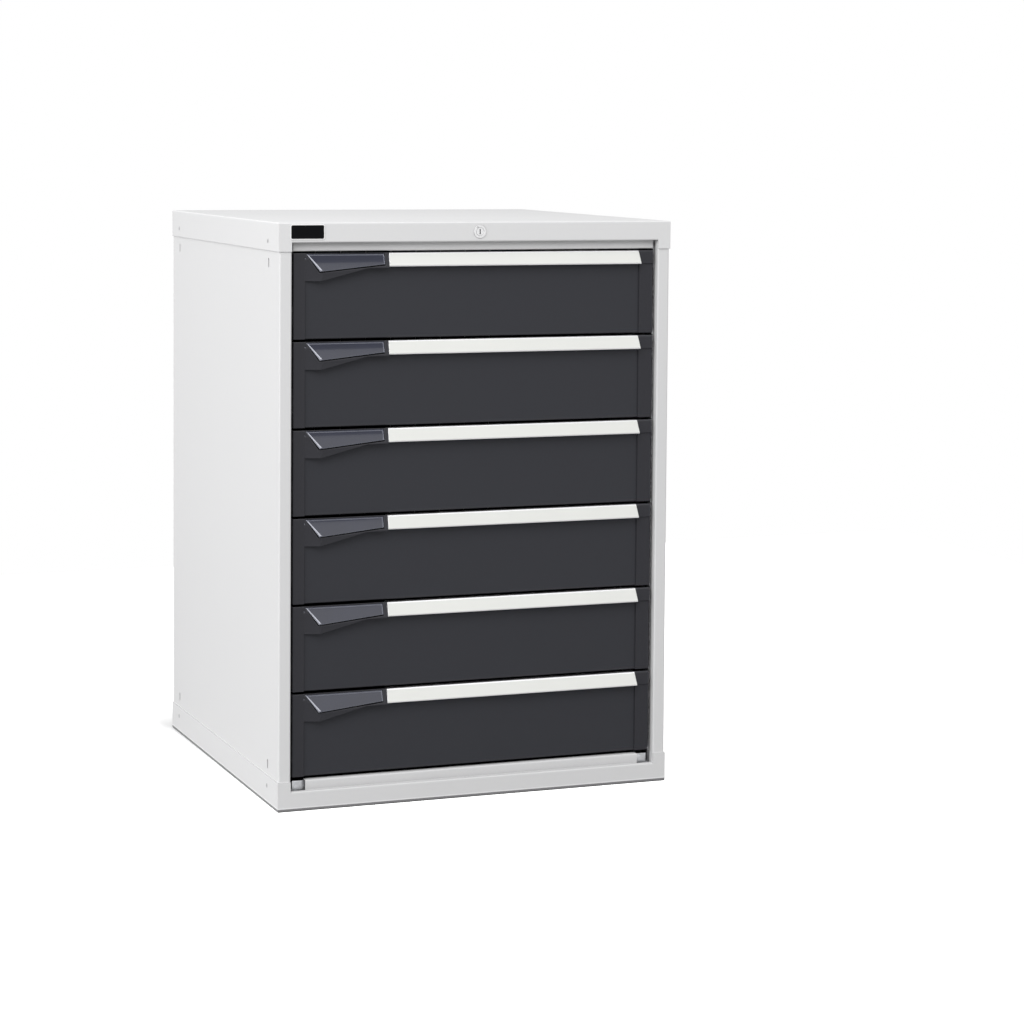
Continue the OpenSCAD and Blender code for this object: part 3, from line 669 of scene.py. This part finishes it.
@dataclass(frozen=True)
class BrushedAluminium(Finish):
    """Anodised profile, brushed along its length."""

    lines: float = 2500.0
    stretch: float = 0.02
    lines_rough: float = 0.12
    depth: float = 0.000006
    dull: float = 0.85
    edge_r: float = 0.0004

    def texture(self, surface: Surface) -> None:
        """Adds the brushing.

        Args:
            surface: The material being built.
        """
        graph = surface.graph
        lines = graph.noise(self.lines, detail=4.0, roughness=0.6, where=graph.stretched(self.stretch))
        surface.paint(graph.mix(lines, self.toned(self.dull), self.colour))
        surface.roughen(graph.plus(self.roughness, lines, self.lines_rough))
        edges = surface.effect(surface.effects.edges, Radius=self.edge_r, Reach=self.edge_r, Gain=1.0)
        surface.bump(lines, self.depth, edges["Normal"])


@dataclass(frozen=True)
class CardStrip(Finish):
    """White card under clear film: paper tone in the middle, brighter film at its edges."""

    fibres: float = 1500.0
    fibre_share: float = 0.4
    tone_scale: float = 8.0
    soft: float = 0.97
    film: Colour = (0.98, 0.98, 0.98)
    film_r: float = 0.0012
    film_gain: float = 3.0
    depth: float = 0.000004

    def texture(self, surface: Surface) -> None:
        """Adds the paper's fibres and the film's edges.

        Args:
            surface: The material being built.
        """
        graph, effects = surface.graph, surface.effects
        edges = surface.effect(effects.edges, Radius=self.film_r, Reach=self.film_r, Gain=self.film_gain)
        fibres = graph.noise(self.fibres, detail=4.0, roughness=0.6)
        drift = surface.effect(effects.mottle, Scale=self.tone_scale)["Fac"]
        amount = graph.plus(drift, fibres, self.fibre_share, clamp=True)
        base = graph.mix(amount, self.colour, self.toned(self.soft))
        surface.paint(graph.mix(edges["Mask"], base, self.film))
        surface.bump(fibres, self.depth, edges["Normal"])


def lock_axis() -> Point:
    """The point on the lock's axis that has no Y, from the box of its node."""
    low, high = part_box("lock_body")
    return (low[0] + high[0]) / 2, 0.0, (low[2] + high[2]) / 2


FINISHES = (
    # Cabinet, cover and base: painted shade in their recesses and painted highlights on their folds.
    PowderCoat("cabinet_paint", (0.755, 0.755, 0.76), 0.5, specular=0.12, edge_highlight_share=0.15, recess_shade_share=0.6),
    PowderCoat("cover_paint", (0.78, 0.78, 0.785), 0.6, specular=0.0, edge_highlight_share=0.15, recess_shade_share=0.56,
               recess_shade_reach=0.028, hollow_alone=False),
    # The base also gets painted shade on its upper edges, and a painted shadow along its foot with a painted
    # highlight line above it.
    PowderCoat("base_paint", (0.76, 0.76, 0.765), 0.5, specular=0.12, edge_highlight_share=0.05, recess_shade_share=0.6,
               upper_shade_share=1.0, upper_shade_colour=(0.3, 0.3, 0.305), floor_shadow_height=0.0052,
               floor_shadow_colour=(0.25, 0.25, 0.255)),
    # Painted highlight: the drawer fronts' lower edges are painted paler.
    PowderCoat("drawer_paint", (0.0375, 0.0385, 0.045), 0.5, specular=0.13, edge_highlight_colour=(0.06, 0.061, 0.067),
               edge_highlight_share=0.0, edge_reach=0.006, edge_gain=7.0, lower_highlight_share=1.0),
    ZincPlate("zinc", (0.62, 0.63, 0.65), 0.32, metallic=1.0),
    TurnedMetal("lock_metal", (0.5, 0.5, 0.505), 0.22, metallic=1.0, axis=lock_axis()),
    BrushedAluminium("handle_profile", (0.82, 0.82, 0.83), 0.3, metallic=1.0),
    CardStrip("label_strip", (0.815, 0.822, 0.79), 0.35, specular=0.4, coat=0.2),
    # Grips and caps: painted highlights on their upper edges.
    MouldedPlastic("dark_plastic", (0.0385, 0.0385, 0.0445), 0.5, specular=0.12),
    MouldedPlastic("cap_plastic", (0.0365, 0.0365, 0.0425), 0.5, specular=0.12,
                   edge_highlight_colour=(0.095, 0.096, 0.105), edge_highlight_share=1.0, edge_gain=9.0),
    PolishedPlastic("lever_plastic", (0.009, 0.011, 0.026), 0.16, specular=0.32, coat=0.31),
    # Pale finishes that paint highlights on the levers' edge strips.
    PolishedPlastic("lever_glint", (0.3, 0.31, 0.36), 0.2, specular=0.6, coat=0.5,
                    edge_highlight_colour=(0.5, 0.51, 0.58), glint_colour=(0.6, 0.61, 0.68)),
    PolishedPlastic("lever_rim_highlight", (0.1, 0.105, 0.14), 0.2, specular=0.6, coat=0.5,
                    edge_highlight_colour=(0.2, 0.21, 0.26), glint_colour=(0.3, 0.31, 0.38)),
    # Painted highlights on the black field's edges.
    PolishedPlastic("plate_black", (0.0015, 0.0015, 0.002), 0.35, specular=0.05,
                    edge_highlight_colour=(0.02, 0.02, 0.02), glint_colour=(0.03, 0.03, 0.03)),
    CardStrip("plate_rim", (0.99, 0.99, 0.99), 0.3),
    # Painted highlight on the screw heads' edges.
    PowderCoat("screw_paint", (0.5, 0.5, 0.51), 0.4, specular=0.4, edge_highlight_colour=(0.75, 0.75, 0.76)),
)


class Wardrobe:
    """All finishes of the cabinet as materials, by name."""

    SPECIAL: dict[str, str] = {"base": "base_paint", "top_cover": "cover_paint",
                               **{f"drawer_{k}_cap": "cap_plastic" for k in DRAWERS}}

    def __init__(self) -> None:
        """Builds the shared effects and every material."""
        effects = Effects()
        self.materials = {finish.name: finish.material(effects) for finish in FINISHES}

    def dress_frame(self) -> None:
        """Dresses every CAD node in its own finish, or else in the one of the record's slot."""
        for part in frame["record"]["subparts"]:
            obj = frame["nodes"][part["node"]]
            material = self.materials[self.SPECIAL.get(part["node"], part["material_slot"])]
            if not obj.material_slots:
                obj.data.materials.append(material)
            for place in obj.material_slots:
                place.material = material
        LOG.info("%d frame nodes dressed in %d finishes", len(frame["nodes"]), len(self.materials))


# Fittings --------------------------------------------------------------------------------------


def arc(centre: Flat, radius: float, start: float, end: float, steps: int) -> list[Flat]:
    """Points along an arc.

    Args:
        centre: The arc's centre.
        radius: Its radius.
        start: Angle of the first point, in degrees.
        end: Angle of the last point, in degrees.
        steps: Number of stretches.

    Returns:
        The points, first and last ones included.
    """
    angles = [math.radians(start + (end - start) * k / steps) for k in range(steps + 1)]
    return [(centre[0] + radius * math.cos(a), centre[1] + radius * math.sin(a)) for a in angles]


def rounded_rectangle(half_w: float, half_h: float, radius: float, steps: int = 6) -> list[Flat]:
    """Outline of a rectangle with round corners, against the clock.

    Args:
        half_w: Half its width.
        half_h: Half its height.
        radius: Radius of the corners.
        steps: Stretches in each corner.

    Returns:
        The outline's points.
    """
    x, z = half_w - radius, half_h - radius
    corners = (((x, z), 0.0), ((-x, z), 90.0), ((-x, -z), 180.0), ((x, -z), 270.0))
    return [point for centre, start in corners for point in arc(centre, radius, start, start + 90.0, steps)]


def stack_rings(shape: bmesh.types.BMesh, rings: list[list[Vector]], closed: bool = False) -> None:
    """Joins rings of equally many points into a skin, and closes its ends with flat faces.

    Args:
        shape: The mesh to add to.
        rings: The rings in order.
        closed: Whether the last ring joins the first one instead.
    """
    made = [[shape.verts.new(point) for point in ring] for ring in rings]
    pairs = list(zip(made, made[1:])) + ([(made[-1], made[0])] if closed else [])
    for low, high in pairs:
        for k in range(len(low)):
            after = (k + 1) % len(low)
            shape.faces.new((low[k], low[after], high[after], high[k]))
    if not closed:
        shape.faces.new(reversed(made[0]))
        shape.faces.new(made[-1])


def mark_faces(shape: bmesh.types.BMesh, first: int, last: int | None = None) -> None:
    """Gives a run of a mesh's faces the second of its piece's finishes.

    Args:
        shape: The mesh.
        first: Number of the run's first face.
        last: Number of the face after the run, or None for all the rest.
    """
    shape.faces.ensure_lookup_table()
    for face in shape.faces[first:last]:
        face.material_index = 1


def add_object(name: str, data: bpy.types.ID) -> bpy.types.Object:
    """Puts a mesh, a lamp or a camera into the scene.

    Args:
        name: The object's name.
        data: What it holds.

    Returns:
        The object.
    """
    obj = bpy.data.objects.new(name, data)
    bpy.context.scene.collection.objects.link(obj)
    return obj


def riding_piece(name: str, mesh: bpy.types.Mesh, body: str) -> bpy.types.Object:
    """Puts a dressed mesh into the scene as a piece that rides on a body.

    Args:
        name: The piece's name.
        mesh: Its mesh, in the frame's coordinates.
        body: The name of the body.

    Returns:
        The piece.
    """
    obj = add_object(name, mesh)
    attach(obj, body)
    LOG.info("%s: %d faces", name, len(mesh.polygons))
    return obj


def finished_piece(name: str, shape: bmesh.types.BMesh, wardrobe: Wardrobe, finishes: tuple[str, ...],
                   body: str) -> bpy.types.Object:
    """Turns a mesh into a dressed piece that rides on a body.

    Args:
        name: The piece's name.
        shape: Its mesh, in the frame's coordinates.
        wardrobe: The finishes.
        finishes: The finish of each material index.
        body: The name of the body that it rides on.

    Returns:
        The piece.
    """
    bmesh.ops.recalc_face_normals(shape, faces=shape.faces)
    mesh = bpy.data.meshes.new(name)
    shape.to_mesh(mesh)
    shape.free()
    for finish in finishes:
        mesh.materials.append(wardrobe.materials[finish])
    return riding_piece(name, mesh, body)


@dataclass(frozen=True)
class Nameplate:
    """The bare plate at the left end of the cover's front: a black field in a pale raised rim."""

    width: float = 60.5 * MM
    height: float = 26.0 * MM
    thickness: float = 0.9 * MM
    corner: float = 4.0 * MM
    rim: float = 1.5 * MM
    recess: float = 0.25 * MM
    inset: float = 0.2 * MM
    from_left: float = 49.8 * MM
    from_top: float = 15.9 * MM

    def build(self, wardrobe: Wardrobe) -> None:
        """Makes the plate on the cover.

        Args:
            wardrobe: The finishes.
        """
        low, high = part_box("top_cover")
        centre = Vector((low[0] + self.from_left, low[1], high[2] - self.from_top))
        shape = bmesh.new()
        steps = ((0.0, 0.0), (0.0, self.inset - self.thickness), (self.inset, -self.thickness),
                 (self.rim, -self.thickness), (self.rim, self.recess - self.thickness))
        rings = [self._ring(centre, shrink, depth) for shrink, depth in steps]
        stack_rings(shape, rings)
        mark_faces(shape, 0, -1)
        finished_piece("nameplate", shape, wardrobe, ("plate_black", "plate_rim"),
                       Body.CABINET.value)

    def _ring(self, centre: Vector, shrink: float, depth: float) -> list[Vector]:
        """One outline of the plate, drawn in by an amount and set forward of the cover.

        Args:
            centre: The plate's centre on the cover's face.
            shrink: How far the outline is drawn in.
            depth: Its place along Y from the cover's face.

        Returns:
            The outline's points.
        """
        outline = rounded_rectangle(self.width / 2 - shrink, self.height / 2 - shrink, self.corner - shrink)
        return [centre + Vector((x, depth, z)) for x, z in outline]


@dataclass(frozen=True)
class LeverBevelHighlights:
    """Strips along the left and upper edges of each thumb lever, and its right edge, in pale finishes that
    paint highlights there.
    """

    lever_x: float = 22.0 * MM
    slant: float = 21.5 * MM
    top: Flat = (0.8 * MM, 1.8 * MM)
    tip: Flat = (11.2 * MM, 31.0 * MM)
    low: float = 19.5 * MM
    end: float = 7.5 * MM
    nose: float = 9.6 * MM
    face_r: float = 150.0 * MM
    edge: float = 0.5 * MM
    rise: Flat = (0.04 * MM, 0.25 * MM)
    left_w: Flat = (2.0 * MM, 5.5 * MM)
    left_end: float = 0.93
    top_w: float = 2.2 * MM
    right_w: float = 1.4 * MM
    steps: int = 16

    def build(self, wardrobe: Wardrobe) -> None:
        """Makes the highlight strips of every lever.

        Args:
            wardrobe: The finishes.
        """
        for k in DRAWERS:
            low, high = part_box(f"drawer_{k}_grip")
            corner = Vector((low[0], low[1] + self.nose, high[2]))
            right = high[0] - self.end
            top_left = (corner.x + self.lever_x, corner.z - self.top[1])
            foot = (top_left[0] + self.slant, corner.z - self.tip[1])
            bottom = tuple(a + (b - a) * self.left_end for a, b in zip(top_left, foot))
            shape = bmesh.new()
            self._bevel(shape, corner, top_left, bottom, (1.0, 0.0), self.left_w)
            sharp = len(shape.faces)
            start = (top_left[0] + self.left_w[0], top_left[1])
            self._bevel(shape, corner, start, (right, top_left[1]), (0.0, -1.0), (self.top_w, self.top_w))
            self._bevel(shape, corner, (right, top_left[1]), (right, corner.z - self.low), (-1.0, 0.0),
                        (self.right_w, self.right_w))
            # The strips are painted highlights: the left one in the glint finish, the upper and right ones in
            # the rim finish.
            mark_faces(shape, sharp)
            finished_piece(f"lever_bevel_highlights_{k}", shape, wardrobe, ("lever_glint", "lever_rim_highlight"),
                           Body.CATCH.numbered(k))

    def _face_y(self, corner: Vector, z: float) -> float:
        """Where the lever's curved face lies at a height.

        Args:
            corner: The upper corner of the drawer's mouldings.
            z: The height.

        Returns:
            The place along Y.
        """
        a = Vector((corner.y - self.top[0], corner.z - self.top[1]))
        b = Vector((corner.y - self.tip[0], corner.z - self.tip[1]))
        chord = b - a
        inward = Vector((-chord.y, chord.x)).normalized()
        centre = (a + b) / 2 + inward * math.sqrt(self.face_r ** 2 - (chord.length / 2) ** 2)
        return centre.x - math.sqrt(self.face_r ** 2 - (z - centre.y) ** 2)

    def _bevel(self, shape: bmesh.types.BMesh, corner: Vector, start: Flat, end: Flat, inward: Flat,
               widths: Flat) -> None:
        """Adds one bevel along an edge of the face.

        Args:
            shape: The mesh to add to.
            corner: The upper corner of the drawer's mouldings.
            start: The edge's first end, as X and Z.
            end: Its second end.
            inward: The way from the edge into the face.
            widths: The bevel's width at both ends.
        """
        rings = []
        for k in range(self.steps + 1):
            share = k / self.steps
            x, z = (p + (q - p) * share for p, q in zip(start, end))
            width = widths[0] + (widths[1] - widths[0]) * share
            outer = (x + inward[0] * self.edge, z + inward[1] * self.edge)
            inner = (x + inward[0] * width, z + inward[1] * width)
            y_out, y_in = self._face_y(corner, outer[1]), self._face_y(corner, inner[1])
            rings.append([Vector((outer[0], y_out - self.rise[0], outer[1])),
                          Vector((inner[0], y_in - self.rise[1], inner[1])),
                          Vector((inner[0], y_in + self.rise[1], inner[1])),
                          Vector((outer[0], y_out + self.rise[1], outer[1]))])
        stack_rings(shape, rings)


@dataclass(frozen=True)
class LockFace:
    """The lock's turned barrel with its chamfered flange, its nut and the pin in the flange."""

    bore_r: float = 7.05 * MM
    barrel_r: float = 9.5 * MM
    flange_t: float = 1.0 * MM
    chamfer: float = 0.45 * MM
    nut_r: float = 12.5 * MM
    nut_t: float = 4.0 * MM
    nut_gap: float = 1.5 * MM
    pin_r: float = 0.9 * MM
    pin_place: Flat = (-4.4 * MM, 8.0 * MM)
    pin_rise: float = 0.05 * MM
    sides: int = 64
    nut_sides: int = 6
    pin_sides: int = 16

    def build(self, wardrobe: Wardrobe) -> None:
        """Makes the lock's outer piece in place of its plain node.

        Args:
            wardrobe: The finishes.
        """
        low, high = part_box("lock_body")
        axis = Vector(lock_axis())
        flange_r = (high[2] - low[2]) / 2
        face, back = low[1] + self.pin_rise, high[1]
        seat = low[1] + self.flange_t
        profile = [(self.bore_r + self.chamfer, face), (flange_r - self.chamfer, face),
                   (flange_r, face + self.chamfer), (flange_r, seat), (self.barrel_r, seat),
                   (self.barrel_r, back), (self.bore_r, back), (self.bore_r, face + self.chamfer)]
        shape = bmesh.new()
        stack_rings(shape, [self._circle(axis, r, y, self.sides) for r, y in profile], closed=True)
        nut = seat + self.nut_gap
        hexagon = [(self.nut_r, nut), (self.nut_r, nut + self.nut_t)]
        bore = [(self.barrel_r, nut + self.nut_t), (self.barrel_r, nut)]
        stack_rings(shape, [self._circle(axis, r, y, self.nut_sides) for r, y in hexagon + bore], closed=True)
        plain = len(shape.faces)
        pin = axis + Vector((self.pin_place[0], 0.0, self.pin_place[1]))
        ends = (low[1], face + self.chamfer)
        stack_rings(shape, [self._circle(pin, self.pin_r, y, self.pin_sides) for y in ends])
        mark_faces(shape, plain)
        obj = finished_piece("lock_face", shape, wardrobe, ("lock_metal", "plate_black"),
                             Body.CABINET.value)
        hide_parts("lock_body")

    @staticmethod
    def _circle(centre: Vector, radius: float, y: float, sides: int) -> list[Vector]:
        """A circle round an axis along Y.

        Args:
            centre: A point on the axis.
            radius: The circle's radius.
            y: Its place along the axis.
            sides: Number of points.

        Returns:
            The circle's points.
        """
        points = arc((centre.x, centre.z), radius, 0.0, 360.0, sides)[:-1]
        return [Vector((x, y, z)) for x, z in points]


@dataclass(frozen=True)
class SideScrews:
    """The countersunk screws of both sides, one cross-recessed screw set on eight points."""

    head_r: float = 4.0 * MM
    shank_r: float = 2.0 * MM
    length: float = 9.0 * MM
    recess_w: float = 0.9 * MM
    recess_l: float = 4.4 * MM
    recess_d: float = 1.4 * MM
    head_sides: int = 32
    shank_sides: int = 24

    def build(self, wardrobe: Wardrobe) -> None:
        """Makes the screws in place of their plain node.

        Args:
            wardrobe: The finishes.
        """
        sizes = self._sizes()
        tree = self._tree(sizes)
        base = bpy.data.meshes.new("screw_places")
        points, turns = self._places()
        base.from_pydata(points, [], [])
        base.attributes.new("turn", "FLOAT", "POINT").data.foreach_set("value", turns)
        holder = add_object("screw_places", base)
        modifier = holder.modifiers.new("screws", "NODES")
        modifier.node_group = tree
        values = {**sizes, "Material": wardrobe.materials["screw_paint"]}
        for item in tree.interface.items_tree:
            if item.in_out == "INPUT" and item.name in values:
                modifier[item.identifier] = values[item.name]
        evaluated = holder.evaluated_get(bpy.context.evaluated_depsgraph_get())
        mesh = bpy.data.meshes.new_from_object(evaluated)
        mesh.name = "side_screws"
        bpy.data.objects.remove(holder)
        obj = riding_piece("side_screws", mesh, Body.CABINET.value)
        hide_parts("screws")

    def _sizes(self) -> dict[str, float]:
        """The screw's sizes, by the names of the tree's inputs."""
        return {"Head Radius": self.head_r, "Shank Radius": self.shank_r, "Length": self.length,
                "Recess Width": self.recess_w, "Recess Length": self.recess_l, "Recess Depth": self.recess_d}

    def _places(self) -> tuple[list[Vector], list[float]]:
        """Where the heads lie, from the box of their node, and how each one is turned.

        Returns:
            The points and, for each, its turn about Z in radians.
        """
        low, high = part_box("screws")
        points, turns = [], []
        for side in Side:
            x = high[0] if side is Side.RIGHT else low[0]
            for y in (low[1] + self.head_r, high[1] - self.head_r):
                for z in (low[2] + self.head_r, high[2] - self.head_r):
                    points.append(Vector((x, y, z)))
                    turns.append(0.0 if side is Side.RIGHT else math.pi)
        return points, turns

    def _tree(self, labels: Iterable[str]) -> bpy.types.NodeTree:
        """Builds the Geometry Nodes tree that makes one screw and sets it on every point.

        Args:
            labels: The names of the inputs for sizes.

        Returns:
            The tree.
        """
        tree = bpy.data.node_groups.new("screw_set", "GeometryNodeTree")
        tree.interface.new_socket("Geometry", in_out="INPUT", socket_type="NodeSocketGeometry")
        for label in labels:
            tree.interface.new_socket(label, in_out="INPUT", socket_type="NodeSocketFloat")
        tree.interface.new_socket("Material", in_out="INPUT", socket_type="NodeSocketMaterial")
        tree.interface.new_socket("Geometry", in_out="OUTPUT", socket_type="NodeSocketGeometry")
        graph = Graph(tree)
        given = graph.node("NodeGroupInput").outputs
        depth = graph.maths("SUBTRACT", given["Head Radius"], given["Shank Radius"])
        head = graph.put(graph.node("GeometryNodeMeshCone"), Vertices=self.head_sides,
                         Radius_Top=given["Head Radius"], Radius_Bottom=given["Shank Radius"], Depth=depth)
        shank = graph.put(graph.node("GeometryNodeMeshCylinder"), Vertices=self.shank_sides,
                          Radius=given["Shank Radius"], Depth=graph.maths("SUBTRACT", given["Length"], depth))
        head_set = self._moved(graph, head.outputs[0], graph.times(depth, -1.0))
        middle = graph.times(graph.maths("ADD", given["Length"], depth), -0.5)
        shank_set = self._moved(graph, shank.outputs[0], middle)
        body = graph.node("GeometryNodeMeshBoolean", operation="UNION")
        graph.link(head_set, body.inputs["Mesh"])
        graph.link(shank_set, body.inputs["Mesh"])
        cut = graph.node("GeometryNodeMeshBoolean", operation="DIFFERENCE")
        graph.link(body.outputs[0], cut.inputs["Mesh 1"])
        deep = graph.times(given["Recess Depth"], 2.0)
        for across, along in (("Recess Width", "Recess Length"), ("Recess Length", "Recess Width")):
            size = graph.node("ShaderNodeCombineXYZ")
            graph.put(size, X=given[across], Y=given[along], Z=deep)
            bar = graph.put(graph.node("GeometryNodeMeshCube"), Size=size.outputs[0])
            graph.link(bar.outputs[0], cut.inputs["Mesh 2"])
        facing = graph.node("GeometryNodeTransform")
        graph.put(facing, Geometry=cut.outputs[0], Rotation=(0.0, math.pi / 2, 0.0))
        turn = graph.node("GeometryNodeInputNamedAttribute", data_type="FLOAT")
        graph.put(turn, Name="turn")
        rotation = graph.put(graph.node("ShaderNodeCombineXYZ"), Z=turn.outputs[0])
        points = graph.put(graph.node("GeometryNodeMeshToPoints"), Mesh=given["Geometry"])
        spread = graph.node("GeometryNodeInstanceOnPoints")
        graph.put(spread, Points=points.outputs[0], Instance=facing.outputs[0], Rotation=rotation.outputs[0])
        real = graph.put(graph.node("GeometryNodeRealizeInstances"), Geometry=spread.outputs[0])
        dressed = graph.put(graph.node("GeometryNodeSetMaterial"), Geometry=real.outputs[0],
                            Material=given["Material"])
        graph.link(dressed.outputs[0], graph.node("NodeGroupOutput").inputs[0])
        return tree

    @staticmethod
    def _moved(graph: Graph, geometry: bpy.types.NodeSocket, z: bpy.types.NodeSocket) -> bpy.types.NodeSocket:
        """Moves a geometry along Z.

        Args:
            graph: The tree's graph.
            geometry: The geometry's socket.
            z: How far, as a socket.

        Returns:
            The moved geometry's socket.
        """
        offset = graph.put(graph.node("ShaderNodeCombineXYZ"), Z=z)
        moved = graph.node("GeometryNodeTransform")
        graph.put(moved, Geometry=geometry, Translation=offset.outputs[0])
        return moved.outputs[0]


# Stage -----------------------------------------------------------------------------------------


@dataclass(frozen=True)
class SoftBox:
    """A rectangular lamp, by its place, what it points at, its sides and its radiance.

    Its power is so many watts for each square metre and each unit of radiance.
    """

    name: str
    place: Point
    target: Point
    width: float
    height: float
    radiance: float
    watts: float = 4.0

    def build(self) -> None:
        """Makes the lamp."""
        lamp = bpy.data.lights.new(self.name, "AREA")
        lamp.shape = "RECTANGLE"
        lamp.size, lamp.size_y = self.width, self.height
        lamp.energy = self.radiance * self.width * self.height * self.watts
        obj = add_object(self.name, lamp)
        place = Vector(self.place)
        obj.location = place
        obj.rotation_euler = (Vector(self.target) - place).to_track_quat("-Z", "Y").to_euler()


def seen_rays(graph: Graph) -> tuple[bpy.types.NodeSocket, bpy.types.NodeSocket]:
    """Tells the rays that see the background: the camera's own, and those by way of metal or glass.

    Args:
        graph: The graph of the floor or the world.

    Returns:
        Two shares: one for the camera's rays, one for the rays by way of metal or glass.
    """
    path = graph.node("ShaderNodeLightPath")
    mirrored = graph.maths("MAXIMUM", path.outputs["Is Glossy Ray"], path.outputs["Is Transmission Ray"])
    return path.outputs["Is Camera Ray"], mirrored


@dataclass(frozen=True)
class Floor:
    """A wide pale floor that looks white to the camera but keeps the cabinet's shadow.

    A soft shade round the cabinet's foot is painted on it, with a reach for each way that it falls off.
    """

    half: float = 2.3
    bounce: float = 0.42
    seen: float = 2.4
    mirrored: float = 0.95
    shade: float = 0.58
    shade_reach: tuple[float, float, float] = (0.055, 0.2, 0.25)
    shade_front: float = 0.4
    shade_start: float = 12.0

    def build(self) -> None:
        """Makes the floor and stages it."""
        mesh = bpy.data.meshes.new("floor")
        side = self.half
        corners = [(-side, -side, 0.0), (side, -side, 0.0), (side, side, 0.0), (-side, side, 0.0)]
        mesh.from_pydata(corners, [], [(0, 1, 2, 3)])
        floor = add_object("floor", mesh)
        material = bpy.data.materials.new("floor")
        material.use_nodes = True
        graph = Graph(material.node_tree)
        direct, mirrored = seen_rays(graph)
        diffuse = graph.node("ShaderNodeBsdfDiffuse")
        seen = graph.mix(self._shade(graph), (self.seen,) * 3, BLACK)
        paint = graph.mix(mirrored, (self.bounce,) * 3, (self.mirrored,) * 3)
        graph.put(diffuse, Color=graph.mix(direct, paint, seen))
        graph.show(diffuse)
        mesh.materials.append(material)

    def _shade(self, graph: Graph) -> bpy.types.NodeSocket:
        """The soft shade that the cabinet leaves on the floor, along its left side and behind it.

        Args:
            graph: The floor's graph.

        Returns:
            The shade's share.
        """
        low, high = CAD_BOUNDS
        where = graph.axes(graph.place())
        pairs = ((low[0], where["X"]), (where["Y"], high[1]), (where["X"], low[0]))
        beside, behind, across = (
            graph.maths("POWER", graph.maths("DIVIDE", self._beyond(graph, *pair), reach), 2.0)
            for pair, reach in zip(pairs, self.shade_reach))
        squares = graph.maths("ADD", graph.maths("ADD", beside, behind), across)
        fall = graph.maths("EXPONENT", graph.times(squares, -1.0))
        along = graph.maths("DIVIDE", graph.maths("SUBTRACT", where["Y"], low[1]), high[1] - low[1], clamp=True)
        grown = graph.plus(self.shade_front, along, 1.0 - self.shade_front)
        ahead = graph.times(along, self.shade_start, clamp=True)
        return graph.times(graph.times(fall, grown), graph.times(ahead, self.shade))

    @staticmethod
    def _beyond(graph: Graph, far: object, near: object) -> bpy.types.NodeSocket:
        """How far one value lies beyond another one, or zero."""
        return graph.maths("MAXIMUM", graph.maths("SUBTRACT", far, near), 0.0)


@dataclass(frozen=True)
class Studio:
    """The room: an even sky, a light wall in front, softboxes above and at the left, and a key lamp."""

    sky: float = 0.32
    floor: Floor = Floor()
    boxes: tuple[SoftBox, ...] = (
        SoftBox("wall", (2.3, -6.5, 2.8), (2.3, 0.0, 2.8), 2.8, 5.4, 1.22),
        SoftBox("left", (-5.0, -0.6, 1.9), (0.0, 0.0, 0.6), 4.0, 4.0, 2.24),
        SoftBox("top", (0.0, -0.6, 4.5), (0.0, 0.0, 0.5), 4.0, 4.0, 0.78),
        SoftBox("key", (-2.3, -4.0, 4.5), (0.0, -0.2, 0.6), 3.4, 3.4, 3.5),
    )

    def build(self) -> None:
        """Makes the floor, the lamps and the sky."""
        self.floor.build()
        for box in self.boxes:
            box.build()
        world = bpy.data.worlds.new("studio")
        bpy.context.scene.world = world
        world.use_nodes = True
        graph = Graph(world.node_tree)
        seen = graph.maths("MAXIMUM", *seen_rays(graph))
        strength = graph.plus(self.sky, seen, 1.0 - self.sky)
        background = graph.node("ShaderNodeBackground")
        graph.put(background, Color=WHITE, Strength=strength)
        graph.show(background, "World")
        LOG.info("studio: floor, %d lamps and a sky of %.2f", len(self.boxes), self.sky)


@dataclass(frozen=True)
class ViewCamera:
    """The camera, with its turn as yaw, pitch and roll in degrees."""

    place: Point = (-1.6770, -4.8761, 1.1559)
    yaw: float = 21.4653
    pitch: float = 3.5
    roll: float = 0.453
    lens: float = 98.536
    shift: Flat = (-0.02021, -0.20438)
    sensor: float = 36.0
    clip: Flat = (0.1, 100.0)

    def build(self) -> None:
        """Makes the camera and sets it as the scene's."""
        yaw, pitch, roll = (math.radians(angle) for angle in (self.yaw, self.pitch, self.roll))
        ahead = Vector((math.sin(yaw) * math.cos(pitch), math.cos(yaw) * math.cos(pitch), -math.sin(pitch)))
        flat = Vector((math.cos(yaw), -math.sin(yaw), 0.0))
        above = flat.cross(ahead)
        right = flat * math.cos(roll) + above * math.sin(roll)
        up = above * math.cos(roll) - flat * math.sin(roll)
        camera = bpy.data.cameras.new("view")
        camera.sensor_width = self.sensor
        camera.lens = self.lens
        camera.shift_x, camera.shift_y = self.shift
        camera.clip_start, camera.clip_end = self.clip
        obj = add_object("view", camera)
        obj.matrix_world = Matrix.Translation(self.place) @ Matrix((right, up, -ahead)).transposed().to_4x4()
        bpy.context.scene.camera = obj


def main() -> None:
    """Dresses the frame, builds the fittings and sets the stage."""
    bpy.context.scene.view_settings.view_transform = "Standard"
    ViewCamera().build()
    Studio().build()
    wardrobe = Wardrobe()
    wardrobe.dress_frame()
    for fitting in (Nameplate(), LeverBevelHighlights(), LockFace(), SideScrews()):
        fitting.build(wardrobe)


if __name__ == "__main__":
    main()
